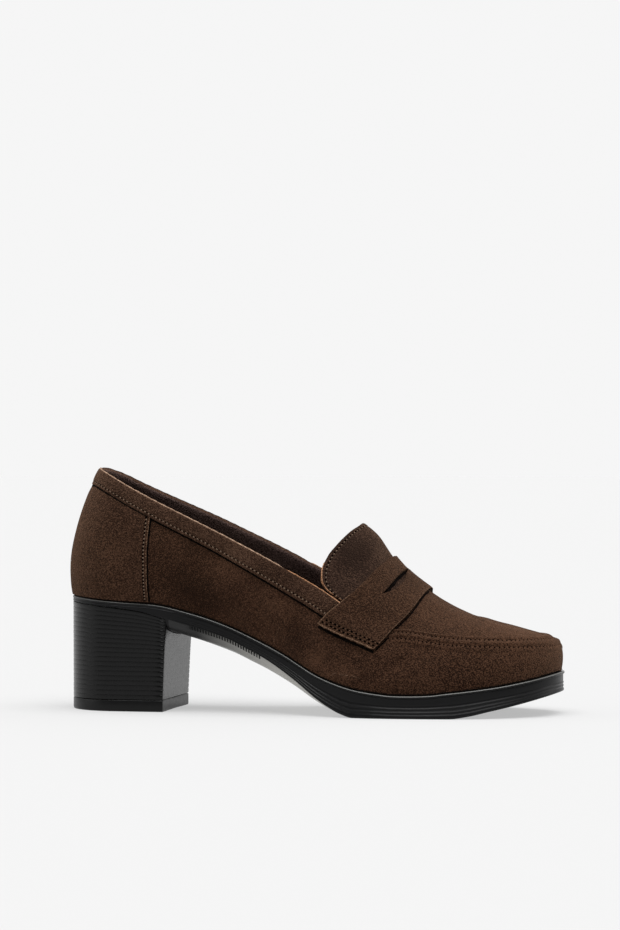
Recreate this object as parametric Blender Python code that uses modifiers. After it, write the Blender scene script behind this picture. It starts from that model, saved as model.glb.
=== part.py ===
# Loafer pump for a right foot: moulded sole, stacked block heel, hollow suede upper, tongue and strap.
#
# Tables and sizes are in millimetres and become metres where a mesh is made. Along the shoe, x starts at
# the heel's back and grows towards the toe. -Y is the outer side, +Y the inner, and Z is up from the floor.
# The upper's surface is a function of (side, q, t): side is OUTER or INNER, q runs along the sole's outline
# from 0 at the middle of the heel's back to TOE_TIP, and t from 0 at the feather line to 1 at the ridge.

import math
from collections import namedtuple

import bmesh
import bpy
from mathutils import Vector

MM = 0.001
OUTER, INNER = -1, 1

# Driving sizes of the last and the sole
TOE_TIP = 244.4
TOE_TIP_Y = 5.0
TOE_CENTRE = 205.0
TOE_ROOF_SLOPE = -0.32
HEEL_CENTRE = 30.0
HEEL_RADIUS = 26.0
BALL = {OUTER: 163.0, INNER: 176.0}
BALL_WIDTH = {OUTER: 41.5, INNER: 40.5}
TOE_ROUNDNESS = {OUTER: 2.2, INNER: 2.4}
SPINE_SHIFT = 3.0
ORIGIN = (123.8, -0.5)

# Walls and gaps
GAP = 0.3
STRAP_GAP = 0.6
UPPER_WALL = 1.8
TONGUE_WALL = 1.5
STRAP_WALL = 1.4
BAND_WALL = 1.1
COUNTER_WALL = 0.8
INSOLE_THICK = 2.2

# Sections of the last. outer and inner are half-widths at the feather line, used up to the ball. feather is
# the height of the feather line. wall_out and wall_z place the control point of the side wall, crown_in (a
# share of the half-width) and crown_z that of the crown. ridge is the height of the section's top.
Section = namedtuple("Section", "x outer inner feather wall_out wall_z crown_in crown_z ridge")
LAST = [
    Section(0, 26.0, 26.0, 56.4, 4.7, 74.0, 0.85, 106.0, 140.0),
    Section(30, 26.2, 26.0, 53.6, 5.0, 75.0, 0.90, 108.0, 142.0),
    Section(50, 26.6, 25.8, 52.3, 5.0, 76.0, 0.88, 112.0, 144.0),
    Section(70, 26.8, 24.6, 47.9, 5.5, 72.0, 0.92, 112.0, 142.0),
    Section(85, 27.0, 23.6, 43.1, 5.5, 66.0, 0.90, 108.0, 136.0),
    Section(100, 28.6, 24.2, 36.8, 5.5, 60.0, 0.82, 103.0, 128.0),
    Section(115, 31.4, 26.8, 29.6, 5.5, 54.0, 0.70, 98.0, 118.0),
    Section(134, 36.4, 31.8, 19.2, 5.5, 42.0, 0.53, 94.0, 103.0),
    Section(148, 39.6, 35.6, 14.4, 4.5, 37.0, 0.40, 90.2, 91.8),
    Section(155, 40.8, 37.4, 12.9, 4.0, 36.0, 0.37, 84.7, 86.0),
    Section(163, 41.5, 39.2, 11.8, 3.5, 35.0, 0.38, 74.0, 74.6),
    Section(170, 41.5, 40.2, 11.1, 3.0, 34.0, 0.41, 66.7, 67.0),
    Section(177, 41.5, 40.5, 11.0, 2.8, 33.5, 0.45, 61.3, 61.5),
    Section(187, 41.0, 40.0, 11.3, 2.5, 33.0, 0.51, 54.6, 54.6),
    Section(196, 39.0, 39.0, 12.3, 2.5, 33.0, 0.58, 49.8, 49.8),
    Section(205, 37.0, 37.0, 13.3, 2.5, 33.4, 0.66, 46.5, 46.5),
    Section(220, 30.0, 30.0, 15.4, 2.7, 35.2, 0.76, 43.0, 46.5),
    Section(234, 19.0, 19.0, 18.2, 3.2, 38.6, 0.86, 38.0, 46.5),
    Section(244, 3.0, 3.0, 20.8, 3.2, 40.5, 0.89, 35.0, 46.5),
]

# Edge of the opening in side view, from the heel's back to the notch under the strap, and how much higher
# it is on the inner side
Edge = namedtuple("Edge", "x z")
TOPLINE = [
    Edge(12, 118.6),
    Edge(17, 118.2),
    Edge(22, 116.2),
    Edge(35, 109.4),
    Edge(51, 101.6),
    Edge(69, 93.3),
    Edge(85, 85.6),
    Edge(115, 70.3),
    Edge(134, 60.0),
    Edge(144, 53.6),
    Edge(155, 47.5),
]
INNER_RISE = [Edge(30, 0.0), Edge(70, 1.2), Edge(110, 2.2), Edge(135, 2.2), Edge(155, 0.0)]

# Throat joint between tongue and vamp, hidden under the strap: v runs from the notch up to the ridge
JointRow = namedtuple("JointRow", "v q")
JOINT = [
    JointRow(0.00, 155.0),
    JointRow(0.02, 162.7),
    JointRow(0.10, 167.2),
    JointRow(0.30, 171.7),
    JointRow(0.60, 175.3),
    JointRow(1.00, 178.5),
]
THROAT_NOTCH = JOINT[0].q
THROAT_RIDGE = JOINT[-1].q

# The sole along the shoe: height of its side's lower edge, depth of the rounded keel under it,
# how far it stands out of the feather line, and the share of the rib depth.
Sole = namedtuple("Sole", "x edge keel margin rib")
SOLE = [
    Sole(4, 53.2, 0.0, 1.0, 0.0),
    Sole(30, 50.6, 0.0, 1.0, 0.0),
    Sole(44, 48.6, 2.0, 0.7, 0.0),
    Sole(50, 47.0, 6.5, 0.5, 0.0),
    Sole(56, 45.4, 8.5, 0.5, 0.0),
    Sole(61, 43.9, 7.9, 0.6, 0.1),
    Sole(73, 40.6, 8.1, 0.7, 0.2),
    Sole(87, 36.0, 8.5, 0.7, 0.2),
    Sole(97, 31.4, 8.4, 0.8, 0.3),
    Sole(107, 26.3, 7.8, 0.9, 0.4),
    Sole(121, 17.2, 5.4, 1.1, 0.7),
    Sole(132, 8.9, 2.9, 1.3, 1.0),
    Sole(139, 4.5, 1.4, 1.4, 1.0),
    Sole(145, 1.6, 0.4, 1.5, 1.0),
    Sole(151, 0.0, 0.0, 1.6, 1.0),
    Sole(197, 0.0, 0.0, 1.6, 1.0),
    Sole(205, 1.0, 0.0, 1.6, 1.0),
    Sole(215, 3.3, 0.0, 1.5, 0.9),
    Sole(224, 5.4, 0.0, 1.4, 0.8),
    Sole(234, 8.0, 0.0, 1.3, 0.7),
    Sole(245, 11.2, 0.0, 1.4, 0.6),
]

# Side of the sole from top to bottom: drop in millimetres, then the share of the height that is left,
# the inset everywhere, and the inset that fades out with the ribs.
Step = namedtuple("Step", "drop down inset rib")
SOLE_SIDE = [
    Step(0.0, 0.00, 0.5, 0.0),
    Step(0.4, 0.00, 0.0, 0.0),
    Step(1.1, 0.00, 0.0, 0.0),
    Step(1.4, 0.00, 0.35, 0.0),
    Step(1.8, 0.00, 0.1, 0.8),
    Step(1.8, 0.36, 0.1, 0.9),
    Step(1.8, 0.46, 0.1, 0.4),
    Step(1.8, 0.56, 0.1, 0.9),
    Step(1.8, 0.66, 0.1, 0.4),
    Step(1.8, 0.76, 0.1, 0.9),
    Step(1.8, 0.88, 0.1, 0.3),
    Step(1.8, 1.00, 0.3, 0.6),
]

# Section of the keel: shares of its depth on each side, from the sole's lower edge (1) to its middle (0)
Keel = namedtuple("Keel", "x outer inner")
KEEL = [
    Keel(0.00, 1.00, 1.00),
    Keel(0.40, 0.88, 1.04),
    Keel(0.70, 0.73, 1.04),
    Keel(0.92, 0.55, 0.92),
    Keel(0.97, 0.35, 0.55),
    Keel(1.00, 0.00, 0.00),
]

# Block heel and its top piece
Outline = namedtuple("Outline", "radius half_width breast")
HEEL_TOP = Outline(26.9, 26.8, 56.3)
HEEL_FLOOR = Outline(26.8, 26.0, 54.4)
TOP_PIECE_HEIGHT = 5.6
HEEL_LAYERS = 20
LAYER_GROOVE = 0.35
LAYER_BEND = 3
SEAT_RECESS = 0.8

# Apron seam: height of the vamp wall's raised top edge, and how the wall stands out of the last near it,
# as a height from that edge and a share of SEAM_RISE
APRON_SEAM = [
    Edge(150, 47.0),
    Edge(160, 43.2),
    Edge(167, 41.6),
    Edge(175, 41.4),
    Edge(187, 39.5),
    Edge(201, 38.2),
    Edge(219, 37.6),
    Edge(233, 37.5),
    Edge(244, 37.4),
]
SeamRow = namedtuple("SeamRow", "height rise")
SEAM_ROWS = [
    SeamRow(-5.6, 0.0),
    SeamRow(-4.2, 0.7),
    SeamRow(-2.3, 1.0),
    SeamRow(-0.7, 0.9),
    SeamRow(0.0, 0.7),
    SeamRow(0.3, 0.0),
]
SEAM_RISE = 0.9
SEAM_GATHER = (152.0, 165.0)
SEAM_VISIBLE = (170.5, 175.0)

# Collar band: its depth below the topline in height, and where its ends meet the strap
BAND_DEPTH = [Edge(10, 8.6), Edge(40, 8.9), Edge(70, 9.3), Edge(100, 10.4), Edge(140, 11.6)]
BAND_END = 135.6
BAND_LEAN = 6.2
BAND_LEAN_FROM = 95.0
COUNTER_FRONT = 47.2
COUNTER_FOOT = 0.012

# Saddle strap: its rear and front edges from the sewn end (v = 0) up to the ridge (v = 1), as (q, t).
# The slot is open between slot_rear and slot_front, as shares of the strap's width.
StrapRow = namedtuple("StrapRow", "v rear_q rear_t front_q front_t slot_rear slot_front")
STRAP = [
    StrapRow(0.00, 133.4, 0.280, 161.1, 0.250, 0.36, 0.36),
    StrapRow(0.12, 137.8, 0.347, 165.2, 0.322, 0.36, 0.36),
    StrapRow(0.25, 144.2, 0.421, 169.3, 0.408, 0.36, 0.36),
    StrapRow(0.36, 149.1, 0.481, 172.7, 0.483, 0.36, 0.36),
    StrapRow(0.46, 152.7, 0.540, 175.2, 0.548, 0.36, 0.36),
    StrapRow(0.56, 155.6, 0.605, 177.1, 0.625, 0.35, 0.42),
    StrapRow(0.67, 158.1, 0.685, 178.5, 0.712, 0.34, 0.47),
    StrapRow(0.78, 160.3, 0.775, 179.5, 0.805, 0.33, 0.47),
    StrapRow(0.89, 161.9, 0.880, 180.3, 0.905, 0.33, 0.42),
    StrapRow(1.00, 163.0, 1.000, 180.7, 1.000, 0.34, 0.37),
]
STRAP_REAR_STEPS = 3
STRAP_FRONT_STEPS = 4

# Tongue: free rear edge from the collar (v = 0) up to its top at the ridge (v = 1), as (q, t)
TongueRow = namedtuple("TongueRow", "v q t")
TONGUE_EDGE = [
    TongueRow(0.00, 143.5, 0.425),
    TongueRow(0.08, 139.4, 0.438),
    TongueRow(0.17, 136.0, 0.457),
    TongueRow(0.25, 133.8, 0.484),
    TongueRow(0.33, 133.3, 0.527),
    TongueRow(0.46, 135.3, 0.605),
    TongueRow(0.60, 138.8, 0.682),
    TongueRow(0.76, 143.3, 0.786),
    TongueRow(0.90, 147.3, 0.915),
    TongueRow(1.00, 148.3, 1.000),
]
TONGUE_STEPS = 6
TONGUE_JOINT = 1.2
TONGUE_LIFT = 0.016


def smooth(rows, column, x):
    """Monotone cubic through one column of a table against its first column, held at its ends."""
    keys = [row[0] for row in rows]
    values = [getattr(row, column) for row in rows]
    if x <= keys[0]:
        return values[0]
    if x >= keys[-1]:
        return values[-1]
    steps = [(values[i + 1] - values[i]) / (keys[i + 1] - keys[i]) for i in range(len(keys) - 1)]
    i = max(k for k in range(len(keys) - 1) if keys[k] <= x)

    def slope(k):
        if k == 0:
            return steps[0]
        if k == len(keys) - 1:
            return steps[-1]
        before, after = steps[k - 1], steps[k]
        return 0.0 if before * after <= 0 else 2 * before * after / (before + after)

    span = keys[i + 1] - keys[i]
    s = (x - keys[i]) / span
    return (
        values[i] * (1 + 2 * s) * (1 - s) ** 2
        + values[i + 1] * s * s * (3 - 2 * s)
        + span * s * (1 - s) * (slope(i) * (1 - s) - slope(i + 1) * s)
    )


def straight(rows, key, column, value):
    """Straight lines through one column of a table against another."""
    for low, high in zip(rows, rows[1:]):
        if value <= getattr(high, key):
            share = (value - getattr(low, key)) / (getattr(high, key) - getattr(low, key))
            return mix(getattr(low, column), getattr(high, column), share)
    return getattr(rows[-1], column)


def mix(a, b, share):
    return a + (b - a) * share


def ramp(value, limits):
    """0 below the first limit, 1 above the second."""
    low, high = limits
    return min(1.0, max(0.0, (value - low) / (high - low)))


def spine_y(x):
    """The ridge swings to the inner side towards the toe."""
    share = ramp(x, (90, 160))
    return SPINE_SHIFT * share * share * (3 - 2 * share)


def outline_y(side, x):
    """Y of the feather line: the table up to the ball, then a superellipse to the toe's tip."""
    if x <= BALL[side]:
        return side * smooth(LAST, "outer" if side == OUTER else "inner", x)
    power = TOE_ROUNDNESS[side]
    along = min(1.0, (x - BALL[side]) / (TOE_TIP - BALL[side]))
    reach = (1 - along**power) ** (1 / power)
    return TOE_TIP_Y + (side * BALL_WIDTH[side] - TOE_TIP_Y) * reach


def station(side, q):
    """Spine point, outward direction in plan, and distance from spine to feather line."""
    if q < HEEL_CENTRE:
        angle = math.radians(90 * q / HEEL_CENTRE)
        spine = Vector((HEEL_CENTRE, 0, 0))
        side_width = smooth(LAST, "outer", HEEL_CENTRE)
        width = mix(HEEL_RADIUS, side_width, math.sin(angle) ** 2)
        return spine, Vector((-math.cos(angle), side * math.sin(angle), 0)), width
    spine_x = min(q, TOE_CENTRE)
    spine = Vector((spine_x, spine_y(spine_x), 0))
    reach = Vector((q, outline_y(side, q), 0)) - spine
    return spine, reach.normalized(), reach.length


def controls(side, q):
    """The four Bezier control points of the section at q."""
    spine, out, width = station(side, q)
    crown = spine + out * width * smooth(LAST, "crown_in", q)
    ridge = smooth(LAST, "ridge", min(q, TOE_CENTRE))
    crown_z = smooth(LAST, "crown_z", q)
    if q > TOE_CENTRE:
        crown_z = ridge + TOE_ROOF_SLOPE * (crown.x - TOE_CENTRE)
    foot = spine + out * width
    wall = spine + out * (width + smooth(LAST, "wall_out", q))
    return (
        foot + Vector((0, 0, smooth(LAST, "feather", q if q > HEEL_CENTRE else foot.x))),
        wall + Vector((0, 0, smooth(LAST, "wall_z", q))),
        crown + Vector((0, 0, crown_z)),
        spine + Vector((0, 0, ridge)),
    )


def bezier(points, t):
    a, b, c, d = points
    u = 1 - t
    return a * u**3 + b * 3 * u * u * t + c * 3 * u * t * t + d * t**3


def surface(side, q, t, offset=0.0):
    """A point on the last's surface, moved out along its normal by offset."""
    point = bezier(controls(side, q), t)
    if not offset:
        return point
    step_q, step_t = 0.5, 0.004
    q0, q1 = max(0.0, q - step_q), min(TOE_TIP, q + step_q)
    t0, t1 = max(0.0, t - step_t), min(1.0, t + step_t)
    along = bezier(controls(side, q1), t) - bezier(controls(side, q0), t)
    if q == 0.0:
        along = Vector((0, side, 0))
    if q == TOE_TIP:
        along = Vector((0, -side, 0))
    up = bezier(controls(side, q), t1) - bezier(controls(side, q), t0)
    return point - along.cross(up).normalized() * side * offset


def t_where(side, q, height_at):
    """The t at which the section at q first reaches height_at(x)."""
    points = controls(side, q)
    low, high = 0.0, 1.0
    for _ in range(40):
        t = (low + high) / 2
        point = bezier(points, t)
        if point.z < height_at(point.x):
            low = t
        else:
            high = t
    return low


def topline(side, x):
    """Height of the collar's edge, a little higher on the inner side."""
    return smooth(TOPLINE, "z", x) + (smooth(INNER_RISE, "z", x) if side == INNER else 0.0)


def opening_t(side, q):
    """t of the opening's edge: the collar, then the throat joint up to the ridge."""
    if q >= THROAT_RIDGE:
        return 1.0
    if q <= THROAT_NOTCH:
        return t_where(side, q, lambda x: topline(side, x))
    return mix(opening_t(side, THROAT_NOTCH), 1.0, straight(JOINT, "q", "v", q))


def band_t(side, q, gap=0.0):
    """t of the collar band's lower edge, or of a line that is a gap below it."""
    return t_where(side, q, lambda x: topline(side, x) - smooth(BAND_DEPTH, "z", x) - gap)


def upper_rows(side, q):
    """(t, offset) from the feather line to the opening, gathered at the seam on the vamp."""
    top = opening_t(side, q)
    seam = [t_where(side, q, lambda x: smooth(APRON_SEAM, "z", x) + row.height) for row in SEAM_ROWS]
    gathered = spread(0, seam[0], 4)[:-1] + seam + spread(seam[-1], top, 4)[1:]
    even = spread(0, top, len(gathered) - 1)
    rises = [0.0] * 4 + [SEAM_RISE * ramp(q, SEAM_VISIBLE) * row.rise for row in SEAM_ROWS] + [0.0] * 4
    share = ramp(q, SEAM_GATHER)
    return [(mix(a, b, share), rise) for a, b, rise in zip(even, gathered, rises)]


def spread(start, end, count):
    return [mix(start, end, k / count) for k in range(count + 1)]


def sole_stations():
    """Values of q from the heel's back to the toe's tip, closer where the outline turns."""
    heel = spread(0, HEEL_CENTRE, 6)
    waist = HEEL_TOP.breast
    quarter = [37.0, 44.0, 50.0] + spread(waist, THROAT_NOTCH - 11, 9)
    throat = spread(THROAT_NOTCH - 11, THROAT_NOTCH, 2)[1:] + [row.q for row in JOINT[1:]]
    vamp = spread(THROAT_RIDGE, TOE_CENTRE, 3)[1:]
    reach = TOE_TIP - TOE_CENTRE
    toe = [TOE_CENTRE + reach * math.sin(math.radians(90 * k / 8)) for k in range(1, 9)]
    return heel + quarter + throat + vamp + toe


def around(qs):
    """(side, q) once round the shoe: outer side to the toe, then back along the inner side."""
    return [(OUTER, q) for q in qs] + [(INNER, q) for q in reversed(qs[1:-1])]


def mesh_object(name, grids, closed, material):
    """A mesh from grids of points, one list for each station. Points that coincide become one vertex."""
    bm = bmesh.new()
    known = {}

    def vertex(point):
        place = (point - Vector((ORIGIN[0], ORIGIN[1], 0))) * MM
        key = tuple(round(c, 7) for c in place)
        if key not in known:
            known[key] = bm.verts.new(place)
        return known[key]

    for grid in grids:
        columns = [[vertex(point) for point in column] for column in grid]
        following = columns[1:] + (columns[:1] if closed else [])
        for a, b in zip(columns, following):
            for i in range(len(a) - 1):
                corners = list(dict.fromkeys((a[i], b[i], b[i + 1], a[i + 1])))
                if len(corners) > 2:
                    bm.faces.new(corners)
    mesh = bpy.data.meshes.new(name)
    bm.to_mesh(mesh)
    bm.free()
    mesh.materials.append(material)
    mesh.shade_smooth()
    mesh.set_sharp_from_angle(angle=math.radians(40))
    obj = bpy.data.objects.new(name, mesh)
    shoe.objects.link(obj)
    return obj


def thicken(obj, wall, outward):
    """Gives an open surface its wall, on its outer or its inner side."""
    solid = obj.modifiers.new("wall", "SOLIDIFY")
    solid.thickness = wall * MM
    solid.offset = 1.0 if outward else -1.0
    solid.use_even_offset = False


def principled(name, colour, roughness):
    material = bpy.data.materials.new(name)
    material.use_nodes = True
    shader = material.node_tree.nodes["Principled BSDF"]
    shader.inputs["Base Color"].default_value = (*colour, 1.0)
    shader.inputs["Roughness"].default_value = roughness
    shader.inputs["Metallic"].default_value = 0.0
    return material


def make_upper():
    """Vamp, apron and quarters as one hollow wall, open at the collar and underneath."""
    grid = []
    for side, q in around(sole_stations()):
        grid.append([surface(side, q, t, offset) for t, offset in upper_rows(side, q)])
    thicken(mesh_object("upper", [grid], True, suede), UPPER_WALL, False)


def seat(spine, out, width, distance):
    """Feather height along the line from the spine to the outline, which is where the sole's top lies."""
    rim = smooth(LAST, "feather", (spine + out * width).x)
    return mix(smooth(LAST, "feather", spine.x), rim, distance / width)


def sole_bottom(side, x, share):
    """Height under the sole: share is 0 on the spine and 1 at the lower edge."""
    depth = smooth(SOLE, "keel", x) * smooth(KEEL, "outer" if side == OUTER else "inner", share)
    return smooth(SOLE, "edge", x) - depth


def make_outsole():
    """Platform, waist and heel seat in one moulding, with the rim and ribs of its side."""
    grid = []
    for side, q in around(sole_stations()):
        spine, out, width = station(side, q)
        foot_x = (spine + out * width).x
        reach = width + smooth(SOLE, "margin", foot_x)
        top, edge = seat(spine, out, width, width) - GAP, smooth(SOLE, "edge", foot_x)
        rib = smooth(SOLE, "rib", foot_x)
        column = [spine + Vector((0, 0, seat(spine, out, width, 0) - GAP))]
        for step in SOLE_SIDE:
            point = spine + out * (reach - step.inset - step.rib * rib)
            point.z = mix(top - step.drop, edge, step.down)
            column.append(point)
        low_reach = reach - SOLE_SIDE[-1].inset - SOLE_SIDE[-1].rib * rib
        for row in reversed(KEEL[:-1]):
            point = spine + out * low_reach * row.x
            point.z = sole_bottom(side, point.x, row.x)
            column.append(point)
        grid.append(column[::-1])
    mesh_object("outsole", [grid], True, moulded)


def heel_outline(size):
    """The heel's D in plan: round back, straight sides, flat breast."""
    turn = [math.radians(-90 - 180 * k / 12) for k in range(13)]
    back = [
        Vector((HEEL_CENTRE + size.radius * math.cos(angle), size.half_width * math.sin(angle), 0))
        for angle in turn
    ]
    sides = spread(HEEL_CENTRE, size.breast, 3)[1:]
    inner = [Vector((x, size.half_width, 0)) for x in sides]
    shares = [row.x for row in reversed(KEEL[:-1])] + [-row.x for row in KEEL[1:]]
    breast = [Vector((size.breast, size.half_width * share, 0)) for share in shares]
    outer = [Vector((x, -size.half_width, 0)) for x in reversed(sides[:-1])]
    return back + inner + breast + outer


def heel_centre(point):
    return Vector((min(max(point.x, HEEL_CENTRE), HEEL_FLOOR.breast - 10), 0, 0))


def heel_top(point):
    """Height of the block under the sole's seat."""
    side = OUTER if point.y < 0 else INNER
    return sole_bottom(side, point.x, min(1.0, abs(point.y) / HEEL_TOP.half_width)) - GAP


def make_heel_block():
    """The stacked block: a fine groove between layers, its top shaped to the seat and the waist."""
    floor = TOP_PIECE_HEIGHT + GAP
    back_height = heel_top(Vector((HEEL_CENTRE - HEEL_TOP.radius, 0, 0))) - floor
    grid = []
    for low, high in zip(heel_outline(HEEL_FLOOR), heel_outline(HEEL_TOP)):
        centre = heel_centre(low)
        height = heel_top(high) - floor
        column = [centre + Vector((0, 0, floor))]
        for k in range(2 * HEEL_LAYERS + 1):
            share = k / (2 * HEEL_LAYERS)
            point = low.lerp(high, share)
            if k % 2:
                point -= (point - centre).normalized() * LAYER_GROOVE
            point.z = floor + back_height * share - (back_height - height) * share**LAYER_BEND
            column.append(point)
        for row in reversed(KEEL[:-1]):
            point = centre.lerp(high, row.x)
            point.z = heel_top(point) - SEAT_RECESS
            column.append(point)
        grid.append(column[::-1])
    mesh_object("heel_block", [grid], True, stacked)


def make_top_piece():
    """The hard-wearing lift under the heel, with a small bevel at its foot."""
    bevel = 0.5
    grid = []
    for point in heel_outline(HEEL_FLOOR):
        centre = heel_centre(point)
        inward = (centre - point).normalized()
        top = Vector((0, 0, TOP_PIECE_HEIGHT))
        rim = point + Vector((0, 0, bevel))
        grid.append([centre + top, point + top, rim, point + inward * bevel, centre])
    mesh_object("heel_top_piece", [grid], True, lift)


def make_insole():
    """The sock and insole board inside the upper, resting on the sole."""
    bevel = 0.5
    grid = []
    for side, q in around(sole_stations()):
        spine, out, width = station(side, q)
        reach = width - UPPER_WALL - 2 * GAP
        column = []
        for distance, height in (
            (0.0, 0.0),
            (reach, 0.0),
            (reach, INSOLE_THICK - bevel),
            (reach - bevel, INSOLE_THICK),
            (0.0, INSOLE_THICK),
        ):
            point = spine + out * distance
            point.z = seat(spine, out, width, distance) + height
            column.append(point)
        grid.append(column)
    mesh_object("insole", [grid], True, lining)


def mirrored(row_of, shares):
    """Columns from the outer edge over the ridge (v = 1) to the inner edge. row_of(side, v) gives one."""
    outer = [row_of(OUTER, v) for v in shares]
    inner = [row_of(INNER, v) for v in reversed(shares[:-1])]
    return outer + inner


def make_tongue():
    """The tongue carries on from the apron under the strap and stands free above the collar."""
    shares = [0.0, 0.04, 0.1, 0.17, 0.25, 0.35, 0.47, 0.6, 0.76, 0.9, 1.0]

    def row(side, v):
        rear_q, rear_t = smooth(TONGUE_EDGE, "q", v), smooth(TONGUE_EDGE, "t", v)
        front_q = straight(JOINT, "v", "q", v) - TONGUE_JOINT
        front_t = mix(opening_t(side, THROAT_NOTCH), 1.0, v)
        points = []
        for share in spread(1, 0, TONGUE_STEPS):
            q = mix(rear_q, front_q, share)
            t = max(mix(rear_t, front_t, share), opening_t(side, min(q, THROAT_NOTCH)) + TONGUE_LIFT)
            points.append(surface(side, q, min(t, 1.0)))
        return points

    thicken(mesh_object("tongue", [mirrored(row, shares)], False, suede), TONGUE_WALL, False)


def make_saddle_strap():
    """The strap over the instep, with the slot cut through its middle."""

    def part_of_row(side, v, start, end, steps):
        row = {column: smooth(STRAP, column, v) for column in StrapRow._fields[1:]}
        points = []
        for share in spread(row.get(end, 1.0), row.get(start, 0.0), steps):
            q = mix(row["rear_q"], row["front_q"], share)
            t = mix(row["rear_t"], row["front_t"], share)
            points.append(surface(side, q, t, STRAP_GAP))
        return points

    shares = [row.v for row in STRAP]
    rear = mirrored(lambda side, v: part_of_row(side, v, "rear", "slot_rear", STRAP_REAR_STEPS), shares)
    front = mirrored(lambda side, v: part_of_row(side, v, "slot_front", "front", STRAP_FRONT_STEPS), shares)
    thicken(mesh_object("saddle_strap", [rear, front], False, suede), STRAP_WALL, True)


def round_the_heel(qs):
    """(side, q) from the inner end back round the heel to the outer end."""
    return [(INNER, q) for q in reversed(qs[1:])] + [(OUTER, q) for q in qs]


def make_collar_band():
    """The folded band below the topline, its ends cut along the strap's rear edge."""
    grid = []
    for side, q in round_the_heel([q for q in sole_stations() if q < BAND_END - 4] + [BAND_END]):
        lean = BAND_LEAN * ramp(q, (BAND_LEAN_FROM, BAND_END))
        column = []
        for share in spread(0, 1, 3):
            leaned = q + lean * share
            t = mix(band_t(side, leaned), opening_t(side, leaned), share)
            column.append(surface(side, leaned, t, GAP))
        grid.append(column)
    thicken(mesh_object("collar_band", [grid], False, suede), BAND_WALL, True)


def make_heel_counter():
    """The counter over the back of the quarters, up to the collar band."""
    grid = []
    for side, q in round_the_heel([q for q in sole_stations() if q < COUNTER_FRONT - 3] + [COUNTER_FRONT]):
        rows = spread(COUNTER_FOOT, band_t(side, q, GAP), 6)
        grid.append([surface(side, q, t, GAP) for t in rows])
    thicken(mesh_object("heel_counter", [grid], False, suede), COUNTER_WALL, True)


def clear_scene():
    for obj in list(bpy.data.objects):
        bpy.data.objects.remove(obj, do_unlink=True)


clear_scene()
shoe = bpy.data.collections.new("loafer_pump")
bpy.context.scene.collection.children.link(shoe)
suede = principled("suede", (0.050, 0.028, 0.018), 0.95)
moulded = principled("moulded_sole", (0.013, 0.013, 0.013), 0.45)
stacked = principled("stacked_heel", (0.014, 0.014, 0.014), 0.5)
lift = principled("heel_lift", (0.012, 0.012, 0.012), 0.5)
lining = principled("lining", (0.120, 0.075, 0.050), 0.7)
make_upper()
make_outsole()
make_heel_block()
make_top_piece()
make_insole()
make_tongue()
make_saddle_strap()
make_collar_band()
make_heel_counter()
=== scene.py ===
# Loafer pump for a right foot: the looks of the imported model.
# Sizes are in millimetres: x from the heel's back to the toe, y to the inner side, z up from the floor.
# The last's surface is read as (side, q, t): side -1 outer or 1 inner, q along the sole's outline from the
# middle of the heel's back to the toe's tip, t from 0 at the feather line to 1 at the ridge.
import math

import bpy
import numpy as np
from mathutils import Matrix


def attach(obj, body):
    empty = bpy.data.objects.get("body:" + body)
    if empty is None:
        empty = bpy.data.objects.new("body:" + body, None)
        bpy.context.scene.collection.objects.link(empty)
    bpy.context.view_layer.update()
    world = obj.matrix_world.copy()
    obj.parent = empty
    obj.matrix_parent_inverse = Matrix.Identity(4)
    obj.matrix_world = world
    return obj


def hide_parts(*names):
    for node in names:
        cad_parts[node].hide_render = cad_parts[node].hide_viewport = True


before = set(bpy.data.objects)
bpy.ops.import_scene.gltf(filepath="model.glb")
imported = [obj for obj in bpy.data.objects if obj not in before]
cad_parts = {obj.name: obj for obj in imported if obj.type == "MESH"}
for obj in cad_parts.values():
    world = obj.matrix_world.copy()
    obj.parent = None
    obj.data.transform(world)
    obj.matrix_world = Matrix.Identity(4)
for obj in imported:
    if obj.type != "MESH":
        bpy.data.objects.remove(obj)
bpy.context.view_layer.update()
outer, inner = -1, 1
print("frame loaded:", ", ".join(sorted(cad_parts)))

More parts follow.
